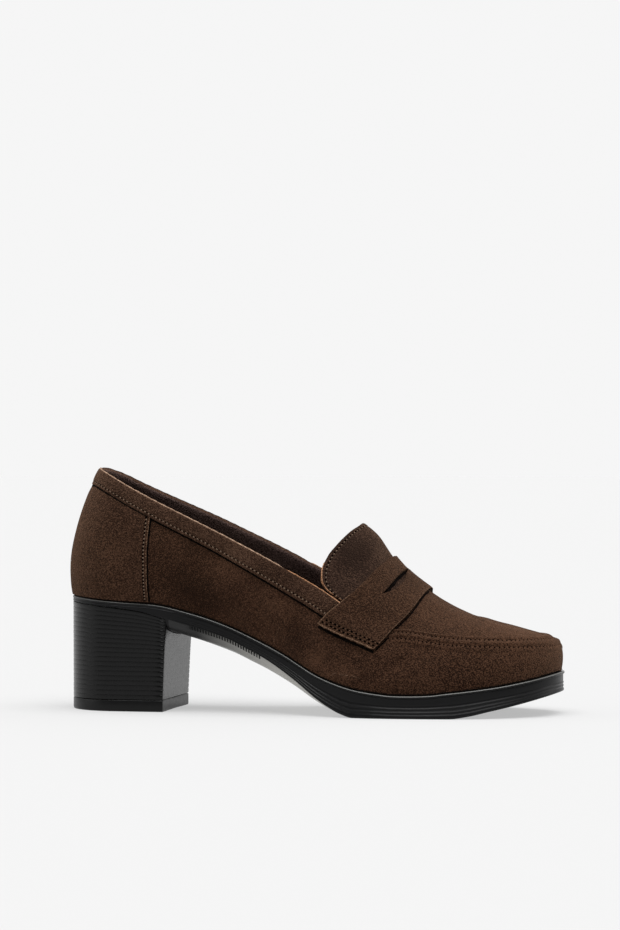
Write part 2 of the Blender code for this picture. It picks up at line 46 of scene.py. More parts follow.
last = {
    "toeTip": 244.4,
    "toeTipY": 5.0,
    "toeCentre": 205.0,
    "toeRoofSlope": -0.32,
    "heelCentre": 30.0,
    "heelRadius": 26.0,
    "ballOuter": 163.0,
    "ballInner": 176.0,
    "ballWidthOuter": 41.5,
    "ballWidthInner": 40.5,
    "toeRoundOuter": 2.2,
    "toeRoundInner": 2.4,
    "spineShift": 3.0,
    "originX": 123.8,
    "originY": -0.5,
    "girth": 75.0,  # length of a section's curve, near enough for placing creases
}
sections = {  # half widths and height of the feather line, wall and crown controls, ridge
    "x": (0, 30, 50, 70, 85, 100, 115, 134, 148, 155, 163, 170, 177, 187, 196, 205, 220, 234, 244),
    "outer": (26, 26.2, 26.6, 26.8, 27, 28.6, 31.4, 36.4, 39.6,
              40.8, 41.5, 41.5, 41.5, 41, 39, 37, 30, 19, 3),
    "inner": (26, 26, 25.8, 24.6, 23.6, 24.2, 26.8, 31.8, 35.6,
              37.4, 39.2, 40.2, 40.5, 40, 39, 37, 30, 19, 3),
    "feather": (56.4, 53.6, 52.3, 47.9, 43.1, 36.8, 29.6, 19.2, 14.4, 12.9,
                11.8, 11.1, 11, 11.3, 12.3, 13.3, 15.4, 18.2, 20.8),
    "wallOut": (4.7, 5, 5, 5.5, 5.5, 5.5, 5.5, 5.5, 4.5, 4, 3.5, 3, 2.8, 2.5, 2.5, 2.5, 2.7, 3.2, 3.2),
    "wallZ": (74, 75, 76, 72, 66, 60, 54, 42, 37, 36, 35, 34, 33.5, 33, 33, 33.4, 35.2, 38.6, 40.5),
    "crownIn": (0.85, 0.9, 0.88, 0.92, 0.9, 0.82, 0.7, 0.53, 0.4, 0.37,
                0.38, 0.41, 0.45, 0.51, 0.58, 0.66, 0.76, 0.86, 0.89),
    "crownZ": (106, 108, 112, 112, 108, 103, 98, 94, 90.2, 84.7, 74,
               66.7, 61.3, 54.6, 49.8, 46.5, 43, 38, 35),
    "ridge": (140, 142, 144, 142, 136, 128, 118, 103, 91.8, 86, 74.6,
              67, 61.5, 54.6, 49.8, 46.5, 46.5, 46.5, 46.5),
}
toplineEdge = {  # height of the collar's edge in side view
    "x": (12, 17, 22, 35, 51, 69, 85, 115, 134, 144, 155),
    "z": (118.6, 118.2, 116.2, 109.4, 101.6, 93.3, 85.6, 70.3, 60, 53.6, 47.5),
}
innerRise = {"x": (30, 70, 110, 135, 155), "z": (0, 1.2, 2.2, 2.2, 0)}
throatJoint = {"v": (0, 0.02, 0.1, 0.3, 0.6, 1), "q": (155, 162.7, 167.2, 171.7, 175.3, 178.5)}
creases = {  # soft troughs: where each starts and ends, half width and depth
    "side": (-1, -1, -1, -1, -1, -1, -1, -1, -1, 1, 1, 1, 1, 1, 1),
    "qFrom": (60, 92, 118, 158, 166, 204, 210, 38, 147, 64, 100, 150, 168, 206, 36),
    "tFrom": (0.24, 0.34, 0.30, 0.06, 0.16, 0.90, 0.78, 0.30, 0.86, 0.22, 0.30, 0.08, 0.18, 0.88, 0.28),
    "qTo": (86, 112, 136, 172, 186, 232, 238, 42, 151, 88, 118, 166, 188, 234, 41),
    "tTo": (0.05, 0.08, 0.10, 0.20, 0.30, 0.74, 0.62, 0.05, 0.62, 0.06, 0.10, 0.20, 0.28, 0.70, 0.06),
    "width": (7.0, 5.0, 4.5, 3.5, 3.0, 2.6, 2.2, 5.0, 4.0, 6.5, 5.0, 3.6, 3.0, 2.6, 5.0),
    "depth": (0.7, 0.35, 0.35, 0.4, 0.3, 0.2, 0.18, 0.4, 0.35, 0.6, 0.4, 0.4, 0.3, 0.2, 0.4),
}


def curveAt(table, column, x, key="x"):  # smooth line through a table's column, level past its ends
    keys, values = np.array(table[key], float), np.array(table[column], float)
    x = np.clip(x, keys[0], keys[-1])
    step = np.diff(values) / np.diff(keys)
    slope = np.concatenate([step[:1], np.zeros(len(step) - 1), step[-1:]])
    before, after = step[:-1], step[1:]
    turns = before * after > 0
    slope[1:-1][turns] = 2 * before[turns] * after[turns] / (before[turns] + after[turns])
    i = np.clip(np.searchsorted(keys, x, side="right") - 1, 0, len(keys) - 2)
    span = keys[i + 1] - keys[i]
    s = (x - keys[i]) / span
    bend = span * s * (1 - s) * (slope[i] * (1 - s) - slope[i + 1] * s)
    return values[i] * (1 + 2 * s) * (1 - s) ** 2 + values[i + 1] * s * s * (3 - 2 * s) + bend


def share(value, low, high):  # 0 below low, 1 above high
    return np.clip((np.asarray(value, float) - low) / (high - low), 0, 1)


def soft(value, low, high):
    s = share(value, low, high)
    return s * s * (3 - 2 * s)


def point(x, y, z):
    return np.stack(np.broadcast_arrays(x, y, z), axis=-1).astype(float)


def unit(vectors):
    return vectors / np.maximum(np.linalg.norm(vectors, axis=-1, keepdims=True), 1e-12)


def spineY(x):
    return last["spineShift"] * soft(x, 90, 160)


def outlineY(side, x):
    ball, ballWidth, toeRound = (
        np.where(side < 0, last[name + "Outer"], last[name + "Inner"])
        for name in ("ball", "ballWidth", "toeRound")
    )
    back = side * np.where(side < 0, curveAt(sections, "outer", x), curveAt(sections, "inner", x))
    along = np.clip((x - ball) / (last["toeTip"] - ball), 0, 1)
    reach = (1 - along**toeRound) ** (1 / toeRound)
    front = last["toeTipY"] + (side * ballWidth - last["toeTipY"]) * reach
    return np.where(x <= ball, back, front)


def sideName(side):
    return "Outer" if side == outer else "Inner"


def station(side, q):  # spine point, direction outwards, distance to the outline
    turn = np.radians(90 * share(q, 0, last["heelCentre"]))
    atHeel = q < last["heelCentre"]
    spineX = np.clip(q, last["heelCentre"], last["toeCentre"])
    spine = point(spineX, spineY(spineX), 0)
    reach = point(q, outlineY(side, q), 0) - spine
    reachLength = np.linalg.norm(reach, axis=-1)
    heelSide = curveAt(sections, "outer", last["heelCentre"])
    heelWidth = last["heelRadius"] + (heelSide - last["heelRadius"]) * np.sin(turn) ** 2
    out = np.where(atHeel[..., None], point(-np.cos(turn), side * np.sin(turn), 0), unit(reach))
    return spine, out, np.where(atHeel, heelWidth, reachLength)


def bareLast(side, q, t):
    spine, out, width = station(side, q)
    crown = spine + out * (width * curveAt(sections, "crownIn", q))[..., None]
    ridgeZ = curveAt(sections, "ridge", np.minimum(q, last["toeCentre"]))
    roofZ = ridgeZ + last["toeRoofSlope"] * (crown[..., 0] - last["toeCentre"])
    foot = spine + out * width[..., None]
    wall = spine + out * (width + curveAt(sections, "wallOut", q))[..., None]
    ridge = spine.copy()
    foot[..., 2] = curveAt(sections, "feather", np.where(q > last["heelCentre"], q, foot[..., 0]))
    wall[..., 2] = curveAt(sections, "wallZ", q)
    crown[..., 2] = np.where(q > last["toeCentre"], roofZ, curveAt(sections, "crownZ", q))
    ridge[..., 2] = ridgeZ
    t, u = t[..., None], 1 - t[..., None]
    return foot * u**3 + wall * 3 * u * u * t + crown * 3 * u * t * t + ridge * t**3


def softForm(side, q, t):  # creases and the slight unevenness of stretched suede
    form = 0.10 * np.sin(q / 9.0 + 3 * t) * np.cos(t * 17 + q / 23) + 0.06 * np.sin(q / 4.3 - 21 * t + side)
    for k in range(len(creases["side"])):
        start = np.array([creases["qFrom"][k], creases["tFrom"][k] * last["girth"]])
        end = np.array([creases["qTo"][k], creases["tTo"][k] * last["girth"]])
        place = np.stack([q, t * last["girth"]], axis=-1)
        along = np.clip(((place - start) @ (end - start)) / ((end - start) @ (end - start)), 0, 1)
        away = np.linalg.norm(place - start - along[..., None] * (end - start), axis=-1) / creases["width"][k]
        trough = np.exp(-away**2) - 0.45 * np.exp(-((away - 1.9) ** 2))
        form = form - np.where(side == creases["side"][k], creases["depth"][k] * trough, 0)
    ridgeFade = 1 - soft(t, 0.88, 1.0) * np.where(q > 150, 1, 0)
    return form * soft(t, 0.0, 0.06) * ridgeFade


def onLast(side, q, t, lift=0.0):  # points on the last, moved out by lift
    side, q, t, lift = (np.array(a, float) for a in np.broadcast_arrays(side, q, t, lift))
    tSafe = np.clip(t, 0, 0.996)
    qLow, qHigh = np.maximum(0, q - 0.5), np.minimum(last["toeTip"], q + 0.5)
    along = bareLast(side, qHigh, tSafe) - bareLast(side, qLow, tSafe)
    along = np.where((q <= 0)[..., None], point(0, side, 0), along)
    along = np.where((q >= last["toeTip"])[..., None], point(0, -side, 0), along)
    up = bareLast(side, q, np.minimum(tSafe + 0.004, 1)) - bareLast(side, q, np.maximum(tSafe - 0.004, 0))
    normal = -unit(np.cross(along, up)) * side[..., None]
    return bareLast(side, q, t) + normal * (lift + softForm(side, q, t))[..., None]


def heightT(side, q, heightAt):  # the t at which a section first reaches a height
    side, q = (np.array(a, float) for a in np.broadcast_arrays(side, q))
    low, high = np.zeros_like(q), np.ones_like(q)
    for _ in range(28):
        middle = (low + high) / 2
        place = bareLast(side, q, middle)
        below = place[..., 2] < heightAt(place[..., 0])
        low, high = np.where(below, middle, low), np.where(below, high, middle)
    return low


def topline(side, x):
    return curveAt(toplineEdge, "z", x) + np.where(side > 0, curveAt(innerRise, "z", x), 0)


def collarT(side, q, drop=0.0):
    return heightT(side, q, lambda x: topline(side, x) - drop)


def openingT(side, q, drop=0.0):  # the collar, then the throat joint up to the ridge
    notch = throatJoint["q"][0]
    onCollar = collarT(side, np.minimum(q, notch), drop * (1 - soft(q, 140, notch)))
    up = np.interp(q, throatJoint["q"], throatJoint["v"])
    return onCollar + (1 - onCollar) * up


def fineQ(start, end, count=3000):  # dense steps along the outline, closer towards the toe's tip
    reach = last["toeTip"] - last["toeCentre"]
    straight = np.linspace(start, last["toeCentre"], count)
    bend = last["toeCentre"] + reach * np.sin(np.linspace(0, math.pi / 2, count))
    steps = np.concatenate([straight, bend[1:]])
    return steps[(steps >= start) & (steps <= end)]


def spaced(values, places, step, multiple=1):  # values resampled so that their places are a step apart
    length = np.concatenate([[0], np.cumsum(np.linalg.norm(np.diff(places, axis=0), axis=-1))])
    count = max(1, round(length[-1] / step / multiple)) * multiple
    return np.interp(np.linspace(0, length[-1], count + 1), length, values)


def toFrame(points):
    return (points - np.array([last["originX"], last["originY"], 0])) * 0.001


def selectOnly(piece):
    bpy.ops.object.select_all(action="DESELECT")
    piece.select_set(True)
    bpy.context.view_layer.objects.active = piece


def gridPiece(name, points, slots=None, merge=0.000005):  # a flat grid, laid on rows and columns of points
    rows, columns = points.shape[:2]
    bpy.ops.object.select_all(action="DESELECT")
    bpy.ops.mesh.primitive_grid_add(x_subdivisions=columns - 1, y_subdivisions=rows - 1, size=1)
    piece = bpy.context.object
    piece.name = piece.data.name = name
    piece.data.vertices.foreach_set("co", toFrame(points).ravel().astype(np.float32))
    if slots is not None:
        piece.data.polygons.foreach_set("material_index", slots.ravel().astype(np.int32))
    if merge:
        mergeDoubles(piece, merge)
    return piece


def ring(rows):  # rows that run once round, closed
    points = np.stack(rows)
    return np.concatenate([points, points[:, :1]], axis=1)


def editMesh(piece, selection, *steps):
    selectOnly(piece)
    bpy.ops.object.mode_set(mode="EDIT")
    bpy.ops.mesh.select_all(action=selection)
    for step in steps:
        step()
    bpy.ops.object.mode_set(mode="OBJECT")


def mergeDoubles(piece, distance):
    editMesh(piece, "SELECT", lambda: bpy.ops.mesh.remove_doubles(threshold=distance))


def closeEnds(piece):  # caps every open end
    editMesh(piece, "DESELECT", lambda: bpy.ops.mesh.select_non_manifold(extend=False), bpy.ops.mesh.fill)


def giveWall(piece, thickness, innerSlot, rimSlot, bevel):
    selectOnly(piece)
    wall = piece.modifiers.new("wall", "SOLIDIFY")
    wall.thickness = thickness * 0.001
    wall.offset = -1.0
    wall.use_even_offset = False
    wall.material_offset = innerSlot
    wall.material_offset_rim = rimSlot
    bpy.ops.object.modifier_apply(modifier="wall")
    if bevel:
        edge = piece.modifiers.new("edge", "BEVEL")
        edge.width = bevel * 0.001
        edge.segments = 2
        edge.limit_method = "ANGLE"
        edge.angle_limit = math.radians(55)
        bpy.ops.object.modifier_apply(modifier="edge")


def finishPiece(piece, materials, nodes=(), sharp=50):
    for material in materials:
        piece.data.materials.append(material)
    selectOnly(piece)
    bpy.ops.object.shade_smooth_by_angle(angle=math.radians(sharp))
    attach(piece, "root")
    if nodes:
        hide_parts(*nodes)
    print(f"{piece.name}: {len(piece.data.polygons)} faces")


def paintNapAndShade(piece, spots):  # how brushed the suede is, with painted shade in some darker spots, from soft spots
    co = np.zeros(len(piece.data.vertices) * 3)
    piece.data.vertices.foreach_get("co", co)
    co = co.reshape(-1, 3) * 1000 + np.array([last["originX"], last["originY"], 0])
    nap = np.zeros(len(co))
    for side, x, z, reach, amount in spots:
        away = ((co[:, 0] - x) ** 2 + (co[:, 2] - z) ** 2) / reach**2
        nap += np.where(co[:, 1] * side > -6, amount * np.exp(-away), 0)
    attribute = piece.data.attributes.new("nap", "FLOAT", "POINT")
    attribute.data.foreach_set("value", nap.astype(np.float32))


def suedePiece(piece, wall, materials, nodes=(), spots=None, innerSlot=0, rimSlot=1, bevel=0.0):
    giveWall(piece, wall, innerSlot, rimSlot, bevel)
    paintNapAndShade(piece, napAndShadeSpots if spots is None else spots)
    finishPiece(piece, materials, nodes)


napAndShadeSpots = [  # side, x, z, reach, amount: brushed lighter above 0, darker below; some darker spots are painted shade, as ahead of the strap's front edge
    (outer, 147, 22, 5, 0.36), (outer, 137, 21, 5, 0.32), (outer, 152, 30, 9, -0.12),
    (outer, 41, 62, 9, 0.12), (outer, 30, 77, 8, 0.22), (outer, 31, 97, 9, -0.16),
    (outer, 64, 63, 10, -0.4), (outer, 76, 54, 10, -0.36), (outer, 88, 72, 9, 0.22),
    (outer, 112, 36, 5, 0.12), (outer, 122, 38, 8, -0.28), (outer, 112, 53, 6, 0.18),
    (outer, 131, 26, 4, 0.36), (outer, 206, 27, 9, -0.08), (outer, 229, 24, 9, 0.14),
    (outer, 242, 30, 9, 0.1), (outer, 200, 22, 7, -0.14), (outer, 148, 77, 8, -0.72),
    (outer, 157, 93, 7, 0.6), (outer, 166, 51, 9, -0.17), (outer, 173, 66, 7, -0.34),
    (outer, 115, 66, 9, -0.2), (outer, 182, 52, 10, 0.05), (outer, 226, 42, 13, 0.62),
    (outer, 203, 49, 11, 0.18), (inner, 222, 43, 12, 0.15), (inner, 60, 70, 12, -0.25),
    (inner, 95, 52, 10, 0.2), (inner, 150, 24, 10, 0.22), (inner, 186, 30, 9, -0.18),
    (inner, 36, 78, 11, 0.2), (inner, 222, 28, 9, 0.15), (inner, 150, 79, 10, -0.18),
    (inner, 166, 51, 9, -0.12),
]


def setInputs(tree, node, values):  # sets each input, or links it to another node's output
    for name, value in values.items():
        if isinstance(value, bpy.types.NodeSocket):
            tree.links.new(value, node.inputs[name])
        else:
            node.inputs[name].default_value = value


def addNode(tree, kind, values, **settings):
    node = tree.nodes.new("ShaderNode" + kind)
    for name, value in settings.items():
        setattr(node, name, value)
    setInputs(tree, node, values)
    return node


napLayers = {  # from brushed patches down to single fibres; toned is the layer's share of the colour
    "scale": (38.0, 120.0, 750.0, 1500.0, 2800.0),
    "detail": (2.0, 3.0, 2.0, 2.0, 1.0),
    "distortion": (1.2, 0.6, 0.0, 0.0, 0.0),
    "toned": (0.62, 0.3, 0.6, 2.3, 2.2),
    "raised": (0.0, 0.0, 0.6, 0.8, 0.4),
    "grainFrom": 500.0,  # layers of a higher scale are coarser towards the toe and the heel
    "middle": -0.03,
    "coarser": 11.0,
    "bend": 1.5,
    "least": 0.8,
    "most": 1.8,
}


def buildNapGroup():  # shared by every suede
    group = bpy.data.node_groups.new("suedeNap", "ShaderNodeTree")
    for way, kind, names in (
        ("INPUT", "Vector", ["Place"]),
        ("INPUT", "Float", ["Nap"]),
        ("INPUT", "Color", ["Deep", "Body", "Raised"]),
        ("OUTPUT", "Color", ["Color"]),
        ("OUTPUT", "Float", ["Height"]),
    ):
        for name in names:
            group.interface.new_socket(name, in_out=way, socket_type="NodeSocket" + kind)
    start, end = group.nodes.new("NodeGroupInput").outputs, group.nodes.new("NodeGroupOutput")

    def work(kind, a, b):
        return addNode(group, "Math", {0: a, 1: b}, operation=kind).outputs[0]

    x = addNode(group, "SeparateXYZ", {0: start["Place"]}).outputs["X"]
    away = work("ABSOLUTE", work("SUBTRACT", x, napLayers["middle"]), 0.0)
    away = work("MULTIPLY", away, napLayers["coarser"])
    coarser = work("MINIMUM", work("POWER", away, napLayers["bend"]), napLayers["most"])
    coarser = work("ADD", coarser, napLayers["least"])
    tone, height = work("ADD", start["Nap"], 0.5), None
    for scale, detail, distortion, toned, raised in zip(*list(napLayers.values())[:5]):
        values = {"Vector": start["Place"], "Scale": scale, "Detail": detail, "Distortion": distortion}
        layer = addNode(group, "TexNoise", {**values, "Roughness": 0.6}).outputs["Fac"]
        centred = work("SUBTRACT", layer, 0.5)
        if scale > napLayers["grainFrom"]:
            centred = work("MULTIPLY", centred, coarser)
        tone = work("ADD", tone, work("MULTIPLY", centred, toned))
        if raised:
            rise = work("MULTIPLY", layer, raised)
            height = work("ADD", height, rise) if height else rise
    colour = start["Deep"]
    for name, low, high in (("Body", 0.0, 0.5), ("Raised", 0.5, 1.0)):
        step = addNode(group, "MapRange", {"Value": tone, "From Min": low, "From Max": high}).outputs[0]
        colour = addNode(group, "Mix", {0: step, 6: colour, 7: start[name]}, data_type="RGBA").outputs[2]
    setInputs(group, end, {"Color": colour, "Height": height})
    return group


napGroup = buildNapGroup()


def placeOn(tree):
    return addNode(tree, "TexCoord", {}).outputs["Object"]


def bumpFrom(tree, height, strength, distance):
    values = {"Strength": strength, "Distance": distance * 0.001, "Height": height}
    return addNode(tree, "Bump", values).outputs["Normal"]


def plainShader(name, colour, roughness, mirror):
    material = bpy.data.materials.new(name)
    material.use_nodes = True
    tree = material.node_tree
    shader = tree.nodes["Principled BSDF"]
    values = {"Base Color": (*colour, 1), "Roughness": roughness, "Specular IOR Level": mirror}
    setInputs(tree, shader, values)
    return material, tree, shader


def suedeMaterial(name, deep, body, raised, sheen=0.2):
    material, tree, shader = plainShader(name, body, 0.95, 0.04)
    values = {"Deep": (*deep, 1), "Body": (*body, 1), "Raised": (*raised, 1), "Place": placeOn(tree)}
    values["Nap"] = addNode(tree, "Attribute", {}, attribute_name="nap").outputs["Fac"]
    nap = addNode(tree, "Group", values, node_tree=napGroup).outputs
    normal = bumpFrom(tree, nap["Height"], 0.9, 0.9)
    setInputs(tree, shader, {"Base Color": nap["Color"], "Normal": normal, "Sheen Weight": sheen})
    setInputs(tree, shader, {"Sheen Roughness": 0.5, "Sheen Tint": (0.7, 0.42, 0.27, 1)})
    return material


def mouldedMaterial(name, colour, roughness, grain, mirror=0.5):
    material, tree, shader = plainShader(name, colour, roughness, mirror)
    noise = addNode(tree, "TexNoise", {"Scale": grain, "Detail": 4, "Vector": placeOn(tree)}).outputs["Fac"]
    gloss = addNode(tree, "MapRange", {"To Min": roughness - 0.1, "To Max": roughness + 0.1, "Value": noise})
    setInputs(tree, shader, {"Roughness": gloss.outputs[0], "Normal": bumpFrom(tree, noise, 0.25, 0.12)})
    return material


def reflectionByPlace(material, reach, dark, reflected, dullness):  # a painted reflection: paler and glossier towards the toe
    tree = material.node_tree
    x = addNode(tree, "SeparateXYZ", {0: placeOn(tree)}).outputs["X"]
    along = addNode(tree, "MapRange", {"From Min": reach[0], "From Max": reach[1], "Value": x}).outputs[0]
    tone = addNode(tree, "Mix", {0: along, 6: (*dark, 1), 7: (*reflected, 1)}, data_type="RGBA").outputs[2]
    polish = addNode(tree, "MapRange", {"To Min": dullness[0], "To Max": dullness[1], "Value": along})
    setInputs(tree, tree.nodes["Principled BSDF"], {"Base Color": tone, "Roughness": polish.outputs[0]})


suede = suedeMaterial("suede", (0.009, 0.0038, 0.002), (0.026, 0.0112, 0.006), (0.072, 0.035, 0.02))
counterSuede = suedeMaterial(
    "counterSuede", (0.010, 0.0044, 0.0024), (0.029, 0.013, 0.0072), (0.078, 0.04, 0.024)
)
bandSuede = suedeMaterial("bandSuede", (0.012, 0.0055, 0.0034), (0.034, 0.0165, 0.0098), (0.085, 0.047, 0.03))
tongueSuede = suedeMaterial(
    "tongueSuede", (0.008, 0.0042, 0.0032), (0.021, 0.0113, 0.0083), (0.062, 0.035, 0.024)
)
strapSuede = suedeMaterial(
    "strapSuede", (0.009, 0.0038, 0.002), (0.026, 0.0115, 0.0062), (0.070, 0.035, 0.02)
)
rawEdge = suedeMaterial("rawEdge", (0.2, 0.09, 0.045), (0.4, 0.2, 0.105), (0.56, 0.32, 0.19), 0.05)
cutEdge = suedeMaterial("cutEdge", (0.05, 0.027, 0.016), (0.11, 0.063, 0.039), (0.2, 0.12, 0.075), 0.1)
seamEdge = suedeMaterial("seamEdge", (0.03, 0.0155, 0.009), (0.066, 0.036, 0.022), (0.13, 0.075, 0.048), 0.1)
# painted highlight: a pale line where the collar's fold catches the light
foldHighlight = suedeMaterial("foldHighlight", (0.2, 0.12, 0.078), (0.36, 0.235, 0.16), (0.52, 0.36, 0.26), 0.1)
bandLining = suedeMaterial(
    "bandLining", (0.022, 0.013, 0.0115), (0.052, 0.033, 0.029), (0.1, 0.066, 0.058), 0.15
)
# painted shade: near-black suede for lines laid in the gaps beside overlapping pieces, where shade falls
joinShade = suedeMaterial(
    "joinShade", (0.0015, 0.0009, 0.0007), (0.003, 0.0019, 0.0015), (0.008, 0.005, 0.0035), 0.0
)
liningHide = suedeMaterial(
    "liningHide", (0.012, 0.006, 0.004), (0.028, 0.0145, 0.009), (0.06, 0.034, 0.022), 0.1
)
sockHide = mouldedMaterial("sockHide", (0.07, 0.042, 0.028), 0.6, 900)
thread = mouldedMaterial("thread", (0.075, 0.042, 0.026), 0.9, 2500, 0.05)
paleThread = mouldedMaterial("paleThread", (0.17, 0.12, 0.085), 0.9, 2500, 0.05)
# painted shade: the dark of the needle holes, laid as small dark beads
needleHoleShade = mouldedMaterial("needleHoleShade", (0.0015, 0.0008, 0.0006), 1.0, 900, 0.0)
soleBlack = mouldedMaterial("soleBlack", (0.0055, 0.0055, 0.0058), 0.36, 700, 0.17)
# painted reflection: the waist's underside is pale grey, as if mirroring the bright floor and backdrop
waistReflection = mouldedMaterial("waistReflection", (0.13, 0.128, 0.12), 0.12, 700, 0.5)
reflectionByPlace(waistReflection, (-0.052, -0.012), (0.003, 0.003, 0.003), (0.42, 0.412, 0.385), (0.55, 0.12))
# painted highlight: a paler grey on the sole's top bead, where it catches the light
rimHighlight = mouldedMaterial("rimHighlight", (0.085, 0.085, 0.08), 0.32, 700, 0.5)
heelBlack = mouldedMaterial("heelBlack", (0.0045, 0.0045, 0.0045), 0.25, 420, 0.2)
liftBlack = mouldedMaterial("liftBlack", (0.005, 0.005, 0.005), 0.35, 600, 0.2)
print("materials ready")


# Stitches: one rounded length of thread, then a copy of it at each place, joined into one mesh
bpy.ops.object.select_all(action="DESELECT")
bpy.ops.mesh.primitive_uv_sphere_add(segments=8, ring_count=6, radius=1)
threadBead = bpy.context.object
beadShape = np.array([v.co[:] for v in threadBead.data.vertices])
beadFaces = [list(f.vertices) for f in threadBead.data.polygons]
beadShape[:, :2] *= np.sqrt(1 + beadShape[:, 2:] ** 2)  # fuller ends than a ball's
bpy.data.objects.remove(threadBead)


def joinCopies(name, centres, along, normals, size, arch=0.0):
    side = unit(np.cross(normals, along))
    normals = unit(np.cross(along, side))
    length, width, height = size
    bowed = arch * (1 - beadShape[:, 2] ** 2)
    copies = (
        centres[:, None, :]
        + along[:, None, :] * (beadShape[:, 2] * length / 2)[None, :, None]
        + side[:, None, :] * (beadShape[:, 0] * width / 2)[None, :, None]
        + normals[:, None, :] * (beadShape[:, 1] * height / 2 + bowed)[None, :, None]
    )
    faces = [[i + k * len(beadShape) for i in face] for k in range(len(centres)) for face in beadFaces]
    mesh = bpy.data.meshes.new(name)
    mesh.from_pydata(toFrame(copies.reshape(-1, 3)).tolist(), [], faces)
    piece = bpy.data.objects.new(name, mesh)
    bpy.context.scene.collection.objects.link(piece)
    return piece


def sewRow(name, side, q, t, lift, size, hole, aside, strand, arch=0.12):  # stitches, with the painted shade of their needle holes between
    place, above = onLast(side, q, t, lift), onLast(side, q, t, lift + 0.4)
    normals = unit(above - place)
    centres, along = (place[:-1] + place[1:]) / 2, unit(np.diff(place, axis=0))
    between = unit(normals[:-1] + normals[1:])
    finishPiece(joinCopies(name, centres, along, between, size, arch), [strand], sharp=80)
    along = unit(np.vstack([along, along[-1:]]))
    beside = unit(np.cross(normals, along)) * aside * side
    holeShades = joinCopies(name + "HoleShades", place + beside, along, normals, (*hole, 0.36))
    finishPiece(holeShades, [needleHoleShade], sharp=80)


def edgeLine(name, side, q, t, lift, width, height, material):  # a cut edge, a painted highlight along one, or the painted shade beside one
    place, above = onLast(side, q, t, lift), onLast(side, q, t, lift + 0.4)
    normals, along = unit(above - place), unit(np.gradient(place, axis=0))
    across = unit(np.cross(normals, along))
    reach = np.linspace(0, 1, len(place))
    uneven = 1 + 0.2 * np.sin(1.9 * place[:, 0] + place[:, 2])
    taper = np.minimum(1, 0.2 + 40 * np.minimum(reach, 1 - reach)) * uneven
    turn = np.linspace(0, 2 * math.pi, 9)[:, None, None]
    loop = across * np.cos(turn) * width / 2 + normals * np.sin(turn) * height / 2
    piece = gridPiece(name, place + loop * taper[:, None])
    closeEnds(piece)
    editMesh(piece, "SELECT", lambda: bpy.ops.mesh.normals_make_consistent(inside=False))
    finishPiece(piece, [material], sharp=80)


apronSeam = {
    "x": (150, 160, 167, 175, 187, 201, 219, 233, 244),
    "z": (47.0, 43.2, 41.6, 41.4, 39.5, 38.2, 37.6, 37.5, 37.4),
    "shownFrom": 165.0,
    "shownBy": 172.0,
    "gatherFrom": 152.0,
    "gatherBy": 165.0,
    "pitch": 2.05,
    "columnsPerStitch": 4,
    "rowHigh": -1.2,  # heights of the two stitch rows from the wall's raised edge
    "rowLow": -4.2,
    "pull": 0.34,
    "stitch": ((0.85, 0.5, 0.5), (1.75, 1.4), 0.0),  # thread's size, hole's size, hole's place beside the row
}
seamProfile = {  # how far the wall stands out near the seam, by height from its edge
    "x": (-6.6, -5.4, -4.6, -4.2, -3.8, -3.2, -2.7, -2.2, -1.6, -1.2, -0.8, -0.35, 0.0, 0.25, 0.8),
    "lift": (0.0, 0.45, 0.5, 0.35, 0.5, 0.95, 1.1, 0.98, 0.62, 0.4, 0.62, 0.85, 0.72, 0.1, 0.0),
}
upper = {
    "wall": 1.8,
    "quarterStep": 2.0,
    "tuck": 1.3,  # how far the wall stops below the band's fold
    "rowsBelow": 18,
    "rowsSeam": 26,
    "edgeRow": 21,  # the seam's row that is the wall's cut edge
    "rowsAbove": 24,
    "seamFoot": -6.8,
    "seamHead": 1.0,
    "soleGapShade": (0.25, 0.8, 0.5),  # lift, width and height of the painted shade line above the sole
    "joinStep": 1.5,
}


def seamZ(x):
    return curveAt(apronSeam, "z", x)


def vampColumns(side):  # evenly along the seam, a whole number to each stitch
    q = fineQ(apronSeam["gatherFrom"], last["toeTip"])
    line = bareLast(np.full_like(q, side), q, heightT(side, q, seamZ))
    step = apronSeam["pitch"] / apronSeam["columnsPerStitch"]
    return spaced(q, line, step, apronSeam["columnsPerStitch"])


def outlineColumns(side, start, end, step):
    q = fineQ(start, end)
    spine, out, width = station(np.full_like(q, side), q)
    return spaced(q, spine + out * width[:, None], step)


scuffs = {  # short paler marks: where each starts and ends along the outline, and its heights
    "side": (-1, -1, -1, -1, -1, -1, 1, 1),
    "q": (110.6, 112.4, 140.0, 144.5, 150.5, 96.0, 142.0, 118.0),
    "z": (34.6, 39.0, 19.6, 20.6, 20.2, 62.0, 20.0, 40.0),
    "qTo": (112.2, 113.6, 143.2, 149.0, 155.0, 98.6, 147.0, 121.0),
    "zTo": (38.6, 41.8, 21.4, 20.0, 18.8, 60.6, 20.6, 38.8),
    "width": (0.45, 0.35, 0.6, 0.8, 0.6, 0.35, 0.7, 0.4),
    "lift": -0.02,
    "height": 0.12,
}


def makeScuffs():
    for k, side in enumerate(scuffs["side"]):
        along = np.linspace(0, 1, 12)
        q = scuffs["q"][k] + (scuffs["qTo"][k] - scuffs["q"][k]) * along
        high = scuffs["z"][k] + (scuffs["zTo"][k] - scuffs["z"][k]) * along
        t = heightT(side, q, lambda x: high)
        edgeLine(f"scuff{k + 1}", side, q, t, scuffs["lift"], scuffs["width"][k], scuffs["height"], seamEdge)


def fromOuter(outerQ, innerQ):  # columns from the outer side round the toe to the inner
    side = np.concatenate([np.full(len(outerQ), float(outer)), np.full(len(innerQ), float(inner))])
    return side, np.concatenate([outerQ, innerQ[::-1]])


def fromInner(innerQ, outerQ):  # columns from the inner side round the heel to the outer
    side = np.concatenate([np.full(len(innerQ) - 1, inner), np.full(len(outerQ), outer)])
    return side, np.concatenate([innerQ[::-1][:-1], outerQ])


